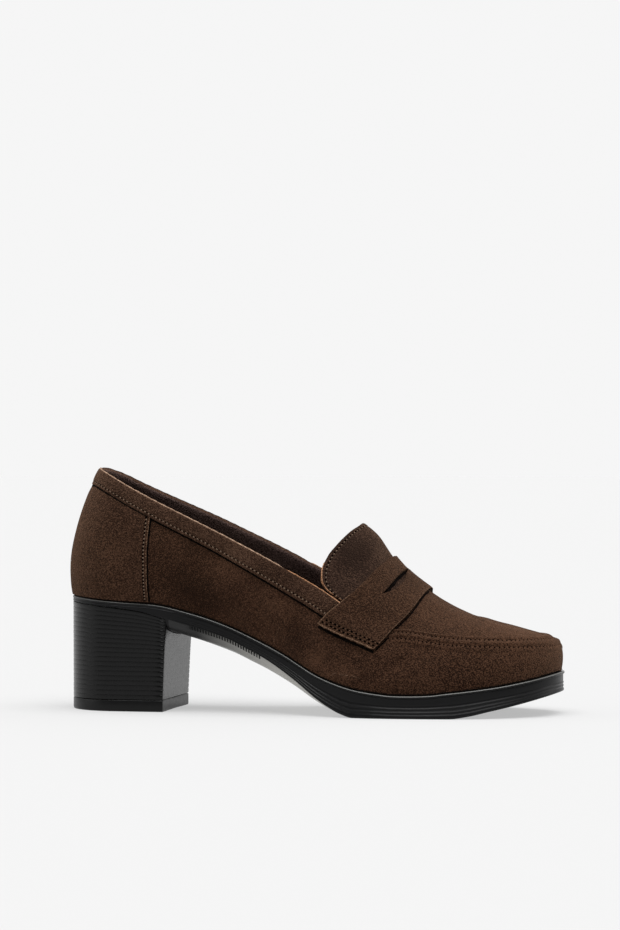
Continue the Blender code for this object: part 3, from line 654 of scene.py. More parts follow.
def overRidge(half):  # columns from the outer side over the ridge to the inner
    side = np.concatenate([np.full(len(half), outer), np.full(len(half) - 1, inner)])
    return side, np.concatenate([half, half[::-1][1:]])


def upperColumns(side):
    quarter = outlineColumns(side, 0, apronSeam["gatherFrom"], upper["quarterStep"])[:-1]
    vamp = vampColumns(side)
    hole = np.arange(len(vamp)) % apronSeam["columnsPerStitch"] == 0
    return np.concatenate([quarter, vamp]), np.concatenate([np.zeros(len(quarter), bool), hole])


def makeUpper():
    (qOut, holeOut), (qIn, holeIn) = upperColumns(outer), upperColumns(inner)
    side, q = fromOuter(qOut, qIn)
    hole = np.concatenate([holeOut, holeIn[::-1]])
    opening = openingT(side, q, upper["tuck"])
    foot, head = (heightT(side, q, lambda x: seamZ(x) + upper[end]) for end in ("seamFoot", "seamHead"))
    below, within, above = (
        np.linspace(0, 1, upper[rows])[:, None] for rows in ("rowsBelow", "rowsSeam", "rowsAbove")
    )
    gathered = np.concatenate([
        below[:-1] * foot, foot + within[:-1] * (head - foot), head + above * (opening - head)
    ])
    even = np.linspace(0, 1, len(gathered))[:, None] * opening
    t = even + (gathered - even) * share(q, apronSeam["gatherFrom"], apronSeam["gatherBy"])
    place = bareLast(np.broadcast_to(side, t.shape), np.broadcast_to(q, t.shape), t)
    height = place[..., 2] - seamZ(place[..., 0])
    shown = soft(q, apronSeam["shownFrom"], apronSeam["shownBy"])
    lift = curveAt(seamProfile, "lift", height) * shown
    for row in ("rowHigh", "rowLow"):
        near = np.exp(-(((height - apronSeam[row]) / 0.55) ** 2))
        lift = lift - apronSeam["pull"] * near * np.where(hole, 1, -0.25) * shown
    slots = np.zeros((len(t) - 1, len(q) - 1))
    # the seam's edge row takes the paler seamEdge suede: the cut edge's own colour, and a painted highlight
    # where the raised edge catches the light
    slots[upper["rowsBelow"] - 1 + upper["edgeRow"], q[:-1] > apronSeam["shownFrom"]] = 2
    piece = gridPiece("upperSkin", onLast(side, q, t, lift), slots, merge=0.00002)
    suedePiece(piece, upper["wall"], [suede, liningHide, seamEdge, liningHide], ["upper"], innerSlot=1)
    for row in ("rowHigh", "rowLow"):
        for side in (outer, inner):
            q = vampColumns(side)[:: apronSeam["columnsPerStitch"]]
            q = q[q > apronSeam["shownFrom"] - 1]
            t = heightT(side, q, lambda x: seamZ(x) + apronSeam[row])
            shown = soft(q, apronSeam["shownFrom"], apronSeam["shownBy"])
            lift = curveAt(seamProfile, "lift", apronSeam[row]) * shown - 0.18
            name = row.replace("row", "seam") + sideName(side)
            sewRow(name, side, q, t, lift, *apronSeam["stitch"], thread)
    for side in (outer, inner):
        q = outlineColumns(side, 0, last["toeTip"] - 0.2, upper["joinStep"])
        t = np.full(len(q), 0.004)
        edgeLine("soleGapShade" + sideName(side), side, q, t, *upper["soleGapShade"], joinShade)


makeUpper()
makeScuffs()

band = {
    "x": (10, 40, 70, 100, 140),
    "depth": (8.6, 8.9, 9.3, 10.4, 11.6),
    "end": 139.6,
    "under": 134.6,  # from here it thins to pass under the strap
    "lean": 7.8,
    "leanFrom": 95.0,
    "pitch": 2.15,
    "columnsPerStitch": 3,
    "stitchShare": 0.16,
    "foldShare": 0.975,  # where the painted highlight runs along the fold
    "rawFrom": 116.0,  # from here the line is the hide's raw edge
    "liningRows": range(19, 33),
    "pull": 0.3,
    "stitch": ((1.0, 0.72, 0.55), (1.25, 1.1), -0.34),
    "foldHighlightLine": (0.7, 0.85, 0.5),  # lift, width and height of a line
    "rawLine": (0.66, 0.75, 0.5),
    "shade": -0.055,  # place below the band, width and height of the painted shade line under it
    "shadeLine": (0.8, 0.3),
}
bandProfile = {  # once round the folded band: share of its depth, and lift off the last
    "share": (0, 0, 0.015, 0.05, 0.10, 0.135, 0.16, 0.185, 0.22, 0.30, 0.45, 0.60, 0.75,
              0.86, 0.92, 0.96, 0.985, 1.0, 0.995, 0.975, 0.94, 0.88, 0.70, 0.45, 0.20,
              0.12, 0.10, 0.12, 0.45, 0.86, 0.92, 0.93, 0.9, 0.5, 0.02),
    "lift": (0.2, 0.75, 1.05, 1.25, 1.25, 1.1, 0.95, 1.1, 1.3, 1.45, 1.5, 1.5, 1.42,
             1.32, 1.18, 0.95, 0.6, 0.0, -0.7, -1.4, -1.95, -2.3, -2.5, -2.5, -2.45,
             -2.35, -2.1, -1.92, -1.88, -1.88, -1.3, -0.3, 0.06, 0.1, 0.12),
}


def bandPlace(side, q, down):  # t and q at a share of the band's depth, along its leaning end
    leaned = q + band["lean"] * share(q, band["leanFrom"], band["end"]) * down
    low = heightT(side, leaned, lambda x: topline(side, x) - curveAt(band, "depth", x))
    return leaned, low + (collarT(side, leaned) - low) * down


def bandColumns(side):
    q = fineQ(0, band["end"])
    leaned, t = bandPlace(side, q, band["stitchShare"])
    line = bareLast(np.full_like(q, side), leaned, t)
    step = band["pitch"] / band["columnsPerStitch"]
    return spaced(q, line, step, band["columnsPerStitch"])


def makeBand():
    side, q = fromInner(bandColumns(inner), bandColumns(outer))
    count = band["columnsPerStitch"]
    hole = np.abs(np.arange(len(q)) - np.argmin(q)) % count == 0
    down, lift = (np.array(bandProfile[c] + bandProfile[c][:1])[:, None] for c in ("share", "lift"))
    leaned, t = bandPlace(side[None, :], np.broadcast_to(q, (len(down), len(q))), down)
    near = np.exp(-(((down - band["stitchShare"]) / 0.03) ** 2))
    pull = band["pull"] * near * np.where(hole, 1, -0.2)
    thin = 1 - 0.62 * soft(q, band["under"], band["under"] + 2) * (lift > 0.15)
    slots = np.isin(np.arange(len(down) - 1), band["liningRows"])[:, None] * np.ones(len(q) - 1)
    piece = gridPiece("collarFold", onLast(side, leaned, t, (lift - pull * (lift > 0.9)) * thin), slots)
    closeEnds(piece)
    paintNapAndShade(piece, napAndShadeSpots)
    finishPiece(piece, [bandSuede, bandLining], ["collar_band"])
    for side in (outer, inner):
        columns, name = bandColumns(side), sideName(side)
        q, t = bandPlace(side, columns[::count], band["stitchShare"])
        sewRow("bandSeam" + name, side, q, t, 0.9, *band["stitch"], paleThread)
        q, t = bandPlace(side, columns[::2], band["foldShare"])
        # only the near side's fold line is a painted highlight; the far side's takes the lining's colour
        fold, raw = foldHighlight if side == outer else bandLining, q > band["rawFrom"]
        edgeLine("foldHighlightLine" + name, side, q[~raw], t[~raw], *band["foldHighlightLine"], fold)
        edgeLine("foldRaw" + name, side, q[raw], t[raw], *band["rawLine"], rawEdge)
        q, t = bandPlace(side, columns[::2], band["shade"])
        onCounter = np.where(q < counter["front"], 0.72, 0.04)
        edgeLine("bandShade" + name, side, q, t, onCounter, *band["shadeLine"], joinShade)


counter = {
    "front": 47.2,
    "foot": 0.012,
    "lift": 1.1,
    "wall": 0.8,
    "step": 1.1,
    "fineFrom": 42.0,
    "fineStep": 0.35,
    "rows": 96,
    "tuck": 1.5,  # how far it goes up under the band
    "groove": 0.22,
    "stitches": 24,
    "stitchFrom": 0.02,
    "stitchTo": 0.95,
    "stitchInset": 1.5,
    "stitch": ((0.85, 0.62, 0.52), (1.1, 0.95), -0.3),
    "bow": ((0, 0.5), (0.35, 0.0), (0.6, -0.2), (1, 0.7)),  # the front edge's bend, by height
}
counterLines = (  # name, place past the front edge, lift, width, height, material
    ("counterEdge", -0.15, 0.8, 0.5, 0.4, cutEdge),
    ("counterShade", 0.45, 0.04, 0.8, 0.3, joinShade),
)


def counterQ(q, up):  # the front edge's slight bend, fading towards the back
    heights, bends = zip(*counter["bow"])
    return q + np.interp(up, heights, bends) * soft(q, 30, counter["front"])


def counterT(side, q, up):  # its upper edge is hidden under the band
    top = heightT(side, q, lambda x: topline(side, x) - curveAt(band, "depth", x) + counter["tuck"])
    return counter["foot"] + (top - counter["foot"]) * up


def counterColumns(side):
    coarse = outlineColumns(side, 0, counter["fineFrom"], counter["step"])
    fine = np.arange(counter["fineFrom"], counter["front"] + 0.01, counter["fineStep"])
    return np.concatenate([coarse[:-1], fine, [counter["front"]]])


def makeCounter():
    side, q = fromInner(counterColumns(inner), counterColumns(outer))
    up = np.linspace(0, 1, counter["rows"])[:, None]
    bent = counterQ(np.broadcast_to(q, (len(up), len(q))), up)
    fromEdge = counter["front"] - q
    groove = counter["groove"] * np.exp(-(((fromEdge - counter["stitchInset"]) / 0.5) ** 2))
    lift = counter["lift"] - 0.3 * (1 - share(fromEdge, 0, 0.8)) ** 2 - groove - 0.45 * soft(up, 0.9, 1.0)
    piece = gridPiece("counterPiece", onLast(side, bent, counterT(side, bent, up), lift))
    suedePiece(piece, counter["wall"], [counterSuede, cutEdge], ["heel_counter"])
    for side in (outer, inner):
        up = np.linspace(counter["stitchFrom"], counter["stitchTo"], counter["stitches"])
        q = counterQ(np.full(len(up), counter["front"] - counter["stitchInset"]), up)
        t = counterT(side, q, up)
        sewRow("counterSeam" + sideName(side), side, q, t, 0.9, *counter["stitch"], paleThread)
        up = np.linspace(0.0, 0.97, 90)
        t = counterT(side, counterQ(np.full(len(up), counter["front"]), up), up)
        for name, past, *line in counterLines:
            q = counterQ(np.full(len(up), counter["front"] + past), up)
            edgeLine(name + sideName(side), side, q, t, *line)


makeBand()
makeCounter()

strap = {  # rear and front edges from the sewn end (v = 0) to the ridge (v = 1), and the slot
    "v": (0, 0.12, 0.25, 0.36, 0.46, 0.56, 0.67, 0.78, 0.89, 1),
    "rearQ": (133.4, 137.8, 144.2, 149.1, 152.7, 155.6, 158.1, 160.3, 161.9, 163),
    "rearT": (0.28, 0.347, 0.421, 0.481, 0.54, 0.605, 0.685, 0.775, 0.88, 1),
    "frontQ": (161.1, 165.2, 169.3, 172.7, 175.2, 177.1, 178.5, 179.5, 180.3, 180.7),
    "frontT": (0.25, 0.322, 0.408, 0.483, 0.548, 0.625, 0.712, 0.805, 0.905, 1),
    "slotRear": (0.36, 0.36, 0.36, 0.36, 0.36, 0.35, 0.34, 0.33, 0.33, 0.34),
    "slotFront": (0.36, 0.36, 0.36, 0.36, 0.36, 0.43, 0.495, 0.505, 0.43, 0.345),
    "slotFrom": 0.46,
    "lift": 2.0,
    "wall": 1.35,
    "step": 0.5,
    "rowsRear": 22,
    "rowsFront": 28,
    "rows": (1.8, 3.5),  # the two stitch rows, from the sewn edge
    "stitches": 12,
    "stitch": ((0.95, 0.6, 0.5), (1.2, 1.05), 0.0),
    "reach": 58.0,  # half the strap's length, and its width
    "width": 28.0,
    # lift, width and height of the painted shadow in the slot, under the rear strip
    "slotShadeLine": (0.25, 1.9, 0.5),
}
strapLines = (  # name, v and across from and to, drop past the edge, lift, width, height, material
    ("strapEnd", 0.004, 0.004, 0.01, 0.99, 0.0, 1.8, 0.9, 0.5, cutEdge),
    ("strapRear", 0.0, 0.32, 0.008, 0.008, 0.0, 1.75, 0.6, 0.4, cutEdge),
    ("strapFront", 0.0, 0.94, 0.99, 0.99, 0.0, 1.72, 0.5, 0.4, seamEdge),
    ("strapEndShade", 0.0, 0.0, 0.0, 1.0, 0.8, 0.1, 1.1, 0.5, joinShade),
    ("strapFrontShade", 0.0, 0.94, 1.024, 1.024, 0.0, 0.1, 0.7, 0.4, joinShade),
)


def strapPlace(side, v, across):  # across is 0 at the rear edge and 1 at the front one
    rearQ, rearT, frontQ, frontT = (curveAt(strap, c, v, "v") for c in ("rearQ", "rearT", "frontQ", "frontT"))
    return rearQ + (frontQ - rearQ) * across, rearT + (frontT - rearT) * across


def strapColumns():
    v = np.linspace(0, 1, 800)
    q, t = strapPlace(outer, v, 0.5)
    return spaced(v, bareLast(np.full_like(v, outer), q, t), strap["step"])


def strapLift(v, across):
    edge = np.minimum(np.minimum(across, 1 - across) * strap["width"], v * strap["reach"])
    pressed = 0.35 * (1 - share(edge, 0, 0.9)) ** 2
    sewn = sum(0.2 * np.exp(-(((v * strap["reach"] - row) / 0.55) ** 2)) for row in strap["rows"])
    crease = np.exp(-(((v - 0.475 - 0.04 * across) * strap["reach"] / 1.2) ** 2))
    crease = 0.3 * crease * (1 - soft(across, 0.25, 0.36))
    strip = 0.3 * soft(v, 0.46, 0.55) * (1 - soft(across, 0.3, 0.35))
    return strap["lift"] - pressed - sewn - crease - strip


def makeStrap():
    side, v = overRidge(strapColumns())
    isOpen = v > strap["slotFrom"]
    slotRear, slotFront = (curveAt(strap, edge, v, "v") for edge in ("slotRear", "slotFront"))
    slotFront = np.where(isOpen, slotFront, slotRear)
    parts = []
    for name, start, end, rows in (
        ("saddleStrap", np.zeros_like(v), slotRear, strap["rowsRear"]),
        ("strapFront", slotFront, np.ones_like(v), strap["rowsFront"]),
    ):
        across = start + (end - start) * np.linspace(1, 0, rows)[:, None]
        q, t = strapPlace(side, np.broadcast_to(v, across.shape), across)
        parts.append(gridPiece(name, onLast(side, q, t, strapLift(v, across)), merge=0))
    piece = parts[0]
    selectOnly(piece)
    parts[1].select_set(True)
    bpy.ops.object.join()
    mergeDoubles(piece, 0.000005)
    suedePiece(piece, strap["wall"], [strapSuede, cutEdge], ["saddle_strap"], bevel=0.22)
    for k, row in enumerate(strap["rows"]):
        for side in (outer, inner):
            across = np.linspace(0.05, 0.95, strap["stitches"] + 1) + 0.03 * k
            q, t = strapPlace(side, np.full(len(across), row / strap["reach"]), across)
            name = f"strapSeam{k + 1}" + sideName(side)
            sewRow(name, side, q, t, strap["lift"] - 0.16, *strap["stitch"], thread, arch=0.14)
    for side in (outer, inner):
        for name, fromV, toV, fromAcross, toAcross, past, *line in strapLines:
            q, t = strapPlace(side, np.linspace(fromV, toV, 60), np.linspace(fromAcross, toAcross, 60))
            edgeLine(name + sideName(side), side, q, t - past / last["girth"], *line)
        v = np.linspace(strap["slotFrom"] + 0.02, 0.985, 80)
        q, t = strapPlace(side, v, curveAt(strap, "slotRear", v, "v") + 0.03)
        edgeLine("slotShade" + sideName(side), side, q, t, *strap["slotShadeLine"], joinShade)


makeStrap()

tongue = {  # the free rear edge from the collar (v = 0) to the top at the ridge (v = 1)
    "v": (0, 0.08, 0.17, 0.25, 0.33, 0.46, 0.60, 0.76, 0.90, 1),
    "q": (147.5, 140.2, 136, 133.8, 133.3, 135.3, 138.8, 143.3, 147.3, 148.3),
    "t": (0.425, 0.438, 0.457, 0.484, 0.527, 0.605, 0.682, 0.786, 0.915, 1),
    "wall": 1.5,
    "joint": 1.2,
    "aboveCollar": 0.016,
    "step": 0.6,
    "rows": 64,
    "pitch": 2.2,
    "length": 30.0,  # from the free edge to the joint
    "stitchInset": 1.7,
    "stitch": ((0.85, 0.55, 0.5), (0.95, 0.85), -0.28),
    "rawTo": 0.4,  # the raw edge shows this far up the tongue's side
    "rawLine": (-0.35, 0.55, 0.6),
}


def tonguePlace(side, v, back):  # back is 1 at the free edge and 0 at the throat joint
    notch = throatJoint["q"][0]
    rearQ, rearT = curveAt(tongue, "q", v, "v"), curveAt(tongue, "t", v, "v")
    frontQ = np.interp(v, throatJoint["v"], throatJoint["q"]) - tongue["joint"]
    notchT = collarT(side, np.full(np.shape(v), notch))
    frontT = notchT + (1 - notchT) * v
    q = frontQ + (rearQ - frontQ) * back
    t = frontT + (rearT - frontT) * back
    least = collarT(side, np.minimum(q, notch)) + tongue["aboveCollar"]
    return q, np.minimum(np.maximum(t, least), 1.0)


def tongueColumns():
    v = np.linspace(0, 1, 1200)
    q, t = tonguePlace(outer, v, 1.0)
    return spaced(v, bareLast(np.full_like(v, outer), q, t), tongue["step"])


def makeTongue():
    side, v = overRidge(tongueColumns())
    back = (1 - np.linspace(0, 1, tongue["rows"]) ** 1.35)[::-1, None]
    q, t = tonguePlace(side, np.broadcast_to(v, (len(back), len(v))), back)
    fromEdge = (1 - back) * tongue["length"]
    lift = -0.3 * (1 - share(fromEdge, 0, 0.8)) ** 2
    lift = lift - 0.2 * np.exp(-(((fromEdge - tongue["stitchInset"]) / 0.5) ** 2))
    piece = gridPiece("tongueSkin", onLast(side, q, t, lift))
    suedePiece(piece, tongue["wall"], [tongueSuede, cutEdge], ["tongue"], bevel=0.2)
    rim, sewn = np.linspace(0.0, 1.0, 400), 1 - tongue["stitchInset"] / tongue["length"]
    for side in (outer, inner):
        q, t = tonguePlace(side, rim, sewn)
        rows = spaced(rim, bareLast(np.full_like(rim, side), q, t), tongue["pitch"])[1:]
        q, t = tonguePlace(side, rows, sewn)
        sewRow("tongueSeam" + sideName(side), side, q, t, -0.14, *tongue["stitch"], paleThread)
        q, t = tonguePlace(side, np.linspace(0.0, tongue["rawTo"], 70), 1.0)
        edgeLine("tongueEdge" + sideName(side), side, q, t, *tongue["rawLine"], rawEdge)


makeTongue()

tongueHide = {  # the hide behind the tongue, and how far its raw edge shows past the suede's
    "v": (0, 0.04, 0.24, 0.36, 1),
    "past": (0.5, 0.6, 0.6, 0.0, -0.8),
    "wall": 0.7,
    "rows": 12,
    "deep": 9.0,
}


def makeTongueLining():
    side, v = overRidge(tongueColumns())
    inward = np.linspace(1, 0, tongueHide["rows"])[:, None] * tongueHide["deep"]
    back = 1 + (curveAt(tongueHide, "past", v, "v") - inward) / tongue["length"]
    q, t = tonguePlace(side, np.broadcast_to(v, back.shape), back)
    piece = gridPiece("tongueLining", onLast(side, q, t, -tongue["wall"] + 0.05))
    suedePiece(piece, tongueHide["wall"], [rawEdge], spots=[], rimSlot=0)


makeTongueLining()

sole = {  # lower edge, keel depth, how far it stands out of the feather line, rib share
    "x": (4, 30, 44, 50, 56, 61, 73, 87, 97, 107, 121, 132, 139, 145, 151, 197, 205, 215, 224, 234, 245),
    "edge": (53.2, 50.6, 48.6, 47, 45.4, 43.9, 40.6, 36, 31.4, 26.3,
             17.2, 8.9, 4.5, 1.6, 0, 0, 1, 3.3, 5.4, 8, 11.2),
    "keel": (0, 0, 2, 6.5, 8.5, 7.9, 8.1, 8.5, 8.4, 7.8, 5.4, 2.9, 1.4, 0.4, 0, 0, 0, 0, 0, 0, 0),
    "margin": (1, 1, 0.7, 0.5, 0.5, 0.6, 0.7, 0.7, 0.8, 0.9, 1.1, 1.3,
               1.4, 1.5, 1.6, 1.6, 1.6, 1.5, 1.4, 1.3, 1.4),
    "rib": (0, 0, 0, 0, 0, 0.1, 0.2, 0.2, 0.3, 0.4, 0.7, 1, 1, 1, 1, 1, 1, 0.9, 0.8, 0.7, 0.6),
    "gap": 0.3,
    "step": 1.3,
    "teethFrom": 68.0,
    "teethTo": 104.0,
    "toothPitch": 1.35,
    "toothDepth": 0.7,
    "toothRise": 1.0,
    "toothRows": 3,
    "reflectionFrom": 57.0,
    "reflectionTo": 142.0,
    "rimHighlightRows": 3,
}
soleSide = {  # its side from top to bottom: drop, then share of the height left, then insets
    "drop": (0, 0.05, 0.2, 0.45, 0.8, 1.1, 1.3, 1.45, 1.6) + (1.8,) * 19,
    "down": (0,) * 10 + (0.12, 0.24, 0.32, 0.37, 0.42, 0.47, 0.52, 0.57, 0.62, 0.67, 0.72, 0.77, 0.82, 0.88,
                         0.93, 0.97, 0.99, 1.0),
    "inset": (0.6, 0.3, 0.1, 0, 0, 0.08, 0.28, 0.38, 0.3, 0.12) + (0.1,) * 15 + (0.14, 0.25, 0.5),
    "rib": (0, 0, 0, 0, 0, 0, 0.1, 0.3, 0.6, 0.8, 0.85, 0.85, 0.85, 0.9, 0.7, 0.4,
            0.7, 0.9, 0.7, 0.4, 0.7, 0.9, 0.6, 0.3, 0.3, 0.4, 0.5, 0.55),
}
keelShape = {
    "x": (0, 0.4, 0.7, 0.92, 0.97, 1),
    "outer": (1, 0.88, 0.73, 0.55, 0.35, 0),
    "inner": (1, 1.04, 1.04, 0.92, 0.55, 0),
}
keelShares = (0.995, 0.985, 0.97, 0.95, 0.92, 0.86, 0.78, 0.7, 0.6, 0.5, 0.4, 0.3, 0.2, 0.1, 0)


def underSole(side, x, across):  # height of the sole's underside, across from 0 to 1 at its edge
    depth = np.where(side < 0, curveAt(keelShape, "outer", across), curveAt(keelShape, "inner", across))
    return curveAt(sole, "edge", x) - curveAt(sole, "keel", x) * depth


def soleColumns(side):
    tooth = sole["toothPitch"] / 4
    rear = outlineColumns(side, 0, sole["teethFrom"], sole["step"])
    waist = np.arange(sole["teethFrom"], sole["teethTo"], tooth)
    fore = outlineColumns(side, sole["teethTo"], last["toeTip"], sole["step"])
    notch = np.arange(len(waist)) % 4 < 2
    blank = [np.zeros(len(rear) - 1, bool), np.zeros(len(fore), bool)]
    return np.concatenate([rear[:-1], waist, fore]), np.concatenate([blank[0], notch, blank[1]])


def makeSole():
    (qOut, notchOut), (qIn, notchIn) = soleColumns(outer), soleColumns(inner)
    side, q = fromOuter(qOut, qIn)
    notch = np.concatenate([notchOut, notchIn[::-1]])
    spine, out, width = station(side, q)
    footX = (spine + out * width[:, None])[:, 0]
    reach = width + curveAt(sole, "margin", footX)
    seatMid = curveAt(sections, "feather", spine[:, 0])
    top = curveAt(sections, "feather", footX) - sole["gap"]
    edge, rib = curveAt(sole, "edge", footX), curveAt(sole, "rib", footX)
    tooth, rise = sole["toothDepth"] * notch, sole["toothRise"] * notch
    rows = [point(spine[:, 0], spine[:, 1], seatMid - sole["gap"])]
    for drop, down, inset, ribShare in zip(*soleSide.values()):
        toothed = down > 0.975
        place = spine + out * (reach - inset - ribShare * rib - tooth * toothed)[:, None]
        place[:, 2] = top - drop + (edge - top + drop) * down + rise * toothed
        rows.append(place)
    lowReach = reach - soleSide["inset"][-1] - soleSide["rib"][-1] * rib
    for across in keelShares:
        toothed = across > 0.99
        place = spine + out * (lowReach * across - tooth * toothed)[:, None]
        place[:, 2] = underSole(side, place[:, 0], np.full_like(side, across)) + rise * toothed
        rows.append(place)
    # the waist's underside takes the painted reflection; the rows at the notches keep the plain black, as
    # painted shade in the notches
    atWaist = (footX > sole["reflectionFrom"]) & (footX < sole["reflectionTo"])
    row = np.arange(len(rows) - 1)[:, None]
    shaded = notch & (row > len(keelShares) - sole["toothRows"])
    slots = ((row < len(keelShares)) & atWaist & ~shaded).astype(int)
    # the top bead's rows take the painted highlight
    slots[-1 - sole["rimHighlightRows"] : -1] = 2
    piece = gridPiece("mouldedSole", ring(rows[::-1]), slots)
    finishPiece(piece, [soleBlack, waistReflection, rimHighlight], ["outsole"], 38)


makeSole()

heel = {
    "topRadius": 26.9,
    "topHalfWidth": 26.8,
    "topBreast": 56.3,
    "floorRadius": 26.8,
    "floorHalfWidth": 26.0,
    "floorBreast": 54.4,
    "liftHeight": 5.6,
    "gap": 0.3,
    "layers": 20,
    "bend": 3,
    "corner": 0.6,
    "cornerDeeper": 8.0,  # the grooves are deeper near the front corners and towards the back
    "cornerReach": 2.0,
    "backDeeper": 1.6,
    "backFrom": 3.0,
    "backTo": 32.0,
}
layerShape = {"up": (0, 0.08, 0.18, 0.5, 0.82, 0.92), "inset": (0.04, 0.02, 0.004, 0.0, 0.004, 0.02)}
liftEdge = (  # the top piece's side, from its top down: height and inset
    (5.6, 0.35), (5.35, 0.08), (5.1, 0.0), (2.9, 0.0), (0.9, 0.0), (0.45, 0.12), (0.15, 0.35), (0.0, 0.7),
)


def heelOutline(level):  # the heel's D in plan, once round from the outer side's front
    radius, halfWidth, breast = (heel[level + name] for name in ("Radius", "HalfWidth", "Breast"))
    turn = np.radians(np.linspace(-90, -270, 61))
    corner = heel["corner"]
    bend = np.radians(np.linspace(0, 90, 5))
    arc = point(last["heelCentre"] + radius * np.cos(turn), halfWidth * np.sin(turn), 0)
    flank = np.linspace(last["heelCentre"], breast - corner, 18)[1:]
    front = np.linspace(1, -1, 41) * (halfWidth - corner)
    innerFlank = point(flank, halfWidth, 0)
    innerCorner = point(breast - corner * (1 - np.sin(bend)), halfWidth - corner * (1 - np.cos(bend)), 0)[1:]
    face = point(breast, front, 0)[1:]
    outerCorner = innerCorner[::-1] * np.array([1, -1, 1])
    outerFlank = point(flank[::-1], -halfWidth, 0)
    return np.concatenate([arc, innerFlank, innerCorner, face, outerCorner[1:], outerFlank[:-1]])


def heelHead(place):  # height of the block under the sole's seat
    side = np.where(place[..., 1] < 0, -1.0, 1.0)
    across = np.minimum(1, np.abs(place[..., 1]) / heel["topHalfWidth"])
    return underSole(side, place[..., 0], across) - heel["gap"]


def makeHeel():
    low, high = heelOutline("floor"), heelOutline("top")
    floor = heel["liftHeight"] + heel["gap"]
    centre = point(np.clip(low[:, 0], last["heelCentre"], heel["floorBreast"] - 10), 0, 0)
    backHeight = heelHead(point(last["heelCentre"] - heel["topRadius"], 0, 0)) - floor
    height = heelHead(high) - floor
    rows = [centre + np.array([0, 0, floor])]
    atCorner = np.hypot(low[:, 0] - heel["floorBreast"], np.abs(low[:, 1]) - heel["floorHalfWidth"])
    deeper = 1 + heel["cornerDeeper"] * np.exp(-((atCorner / heel["cornerReach"]) ** 2))
    deeper = deeper + heel["backDeeper"] * (1 - soft(low[:, 0], heel["backFrom"], heel["backTo"]))
    levels = [
        ((k + up) / heel["layers"], inset)
        for k in range(heel["layers"])
        for up, inset in zip(layerShape["up"], layerShape["inset"])
    ] + [(1.0, 0.2)]
    for up, inset in levels:
        place = low + (high - low) * up
        place = place - unit(place - centre) * (inset * deeper)[:, None]
        place[:, 2] = floor + backHeight * up - (backHeight - height) * up ** heel["bend"]
        rows.append(place)
    for across in (0.97, 0.9, 0.7, 0.4, 0.0):
        place = centre + (high - centre) * across
        place[:, 2] = heelHead(place) - 0.8
        rows.append(place)
    piece = gridPiece("stackedHeel", ring(rows[::-1]))
    finishPiece(piece, [heelBlack], ["heel_block"], 35)


def makeLift():
    rim = heelOutline("floor")
    centre = point(np.clip(rim[:, 0], last["heelCentre"], heel["floorBreast"] - 10), 0, 0)
    inward = unit(centre - rim)
    rows = [centre + np.array([0, 0, heel["liftHeight"]])]
    rows += [rim + inward * inset + np.array([0, 0, z]) for z, inset in liftEdge]
    rows.append(centre)
    piece = gridPiece("heelLift", ring(rows[::-1]))
    finishPiece(piece, [liftBlack], ["heel_top_piece"], 35)


makeHeel()
makeLift()

sock = {"inset": 2.4, "thick": 2.2, "rise": 1.1, "step": 2.5}


def makeSock():
    side, q = fromOuter(*(outlineColumns(side, 0, last["toeTip"], sock["step"]) for side in (outer, inner)))
    spine, out, width = station(side, q)
    reach = width - sock["inset"]
    seatMid = curveAt(sections, "feather", spine[:, 0])
    seatRim = curveAt(sections, "feather", (spine + out * width[:, None])[:, 0])
    thick, rise = sock["thick"], sock["rise"]
    steps = [(0, 0), (0.5, 0), (1, 0), (1, 0.4 * thick), (0.995, 0.75 * thick), (0.98, thick)]
    steps += [(s, thick + rise * (1 - s**2)) for s in (0.95, *np.linspace(0.9, 0, 10))]
    rows = []
    for across, up in steps:
        place = spine + out * (reach * across)[:, None]
        place[:, 2] = seatMid + (seatRim - seatMid) * across * reach / width + up
        rows.append(place)
    piece = gridPiece("sock", ring(rows))
    finishPiece(piece, [sockHide], ["insole"], 50)


makeSock()

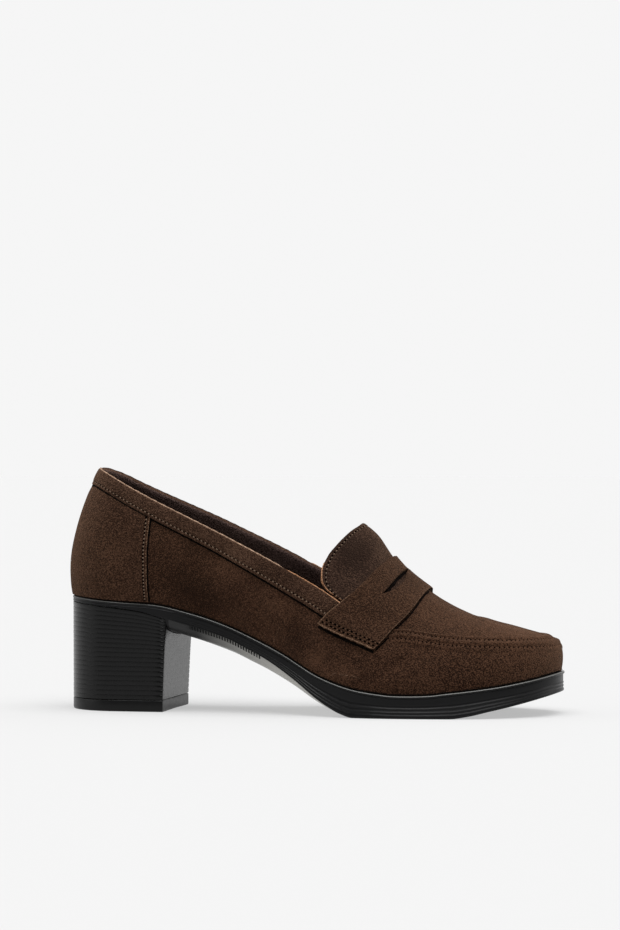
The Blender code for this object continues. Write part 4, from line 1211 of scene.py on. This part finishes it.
studio = {
    "floorHalf": 30.0,
    "floorWhite": 0.25,
    "floorGlow": 0.46,
    "backdrop": 0.92,
    "behind": 0.7,  # light that reaches the shoe from behind it, and from the camera's side
    "front": 0.10,
    "cameraPlace": (0.31007, -1.46672, 0.11975),
    "cameraTurn": 12.0,
    "lens": 118.97,
}
studioLights = {  # soft suns: height and bearing they come from, strength, spread
    "name": ("topLight", "leftLight", "rightLight"),
    "height": (78.0, 22.0, 28.0),
    "bearing": (-60.0, 200.0, 20.0),
    "strength": (4.2, 0.45, 0.4),
    "spread": (60.0, 40.0, 40.0),
}


def makeStudio():
    bpy.ops.object.select_all(action="DESELECT")
    bpy.ops.mesh.primitive_plane_add(size=2 * studio["floorHalf"], location=(0, 0, 0))
    floor = bpy.context.object
    floor.name = "studioFloor"
    material, tree, shader = plainShader("paleFloor", (studio["floorWhite"],) * 3, 1.0, 0.0)
    setInputs(tree, shader, {"Emission Color": (1, 1, 1, 1), "Emission Strength": studio["floorGlow"]})
    floor.data.materials.append(material)
    world = bpy.data.worlds.new("studioLight")
    world.use_nodes = True
    bpy.context.scene.world = world
    tree = world.node_tree
    y = addNode(tree, "SeparateXYZ", {0: addNode(tree, "TexCoord", {}).outputs["Generated"]}).outputs["Y"]
    values = {"From Min": -0.35, "From Max": 0.3, "To Min": studio["front"], "To Max": studio["behind"]}
    level = addNode(tree, "MapRange", {"Value": y, **values}).outputs[0]
    seen = addNode(tree, "LightPath", {}).outputs["Is Camera Ray"]
    shown = addNode(tree, "Mix", {0: seen, 2: level, 3: studio["backdrop"]}).outputs[0]
    setInputs(tree, tree.nodes["Background"], {"Color": (1, 1, 1, 1), "Strength": shown})
    for name, height, bearing, strength, spread in zip(*studioLights.values()):
        bpy.ops.object.light_add(type="SUN", location=(0, 0, 2))
        light = bpy.context.object
        light.name = name
        light.data.energy = strength
        light.data.angle = math.radians(spread)
        light.rotation_euler = (math.radians(90 - height), 0, math.radians(bearing + 90))
    bpy.ops.object.camera_add(location=studio["cameraPlace"])
    camera = bpy.context.object
    camera.rotation_euler = (math.pi / 2, 0, math.radians(studio["cameraTurn"]))
    camera.data.lens = studio["lens"]
    bpy.context.scene.camera = camera
    bpy.context.scene.view_settings.view_transform = "Standard"


makeStudio()
print("studio ready")
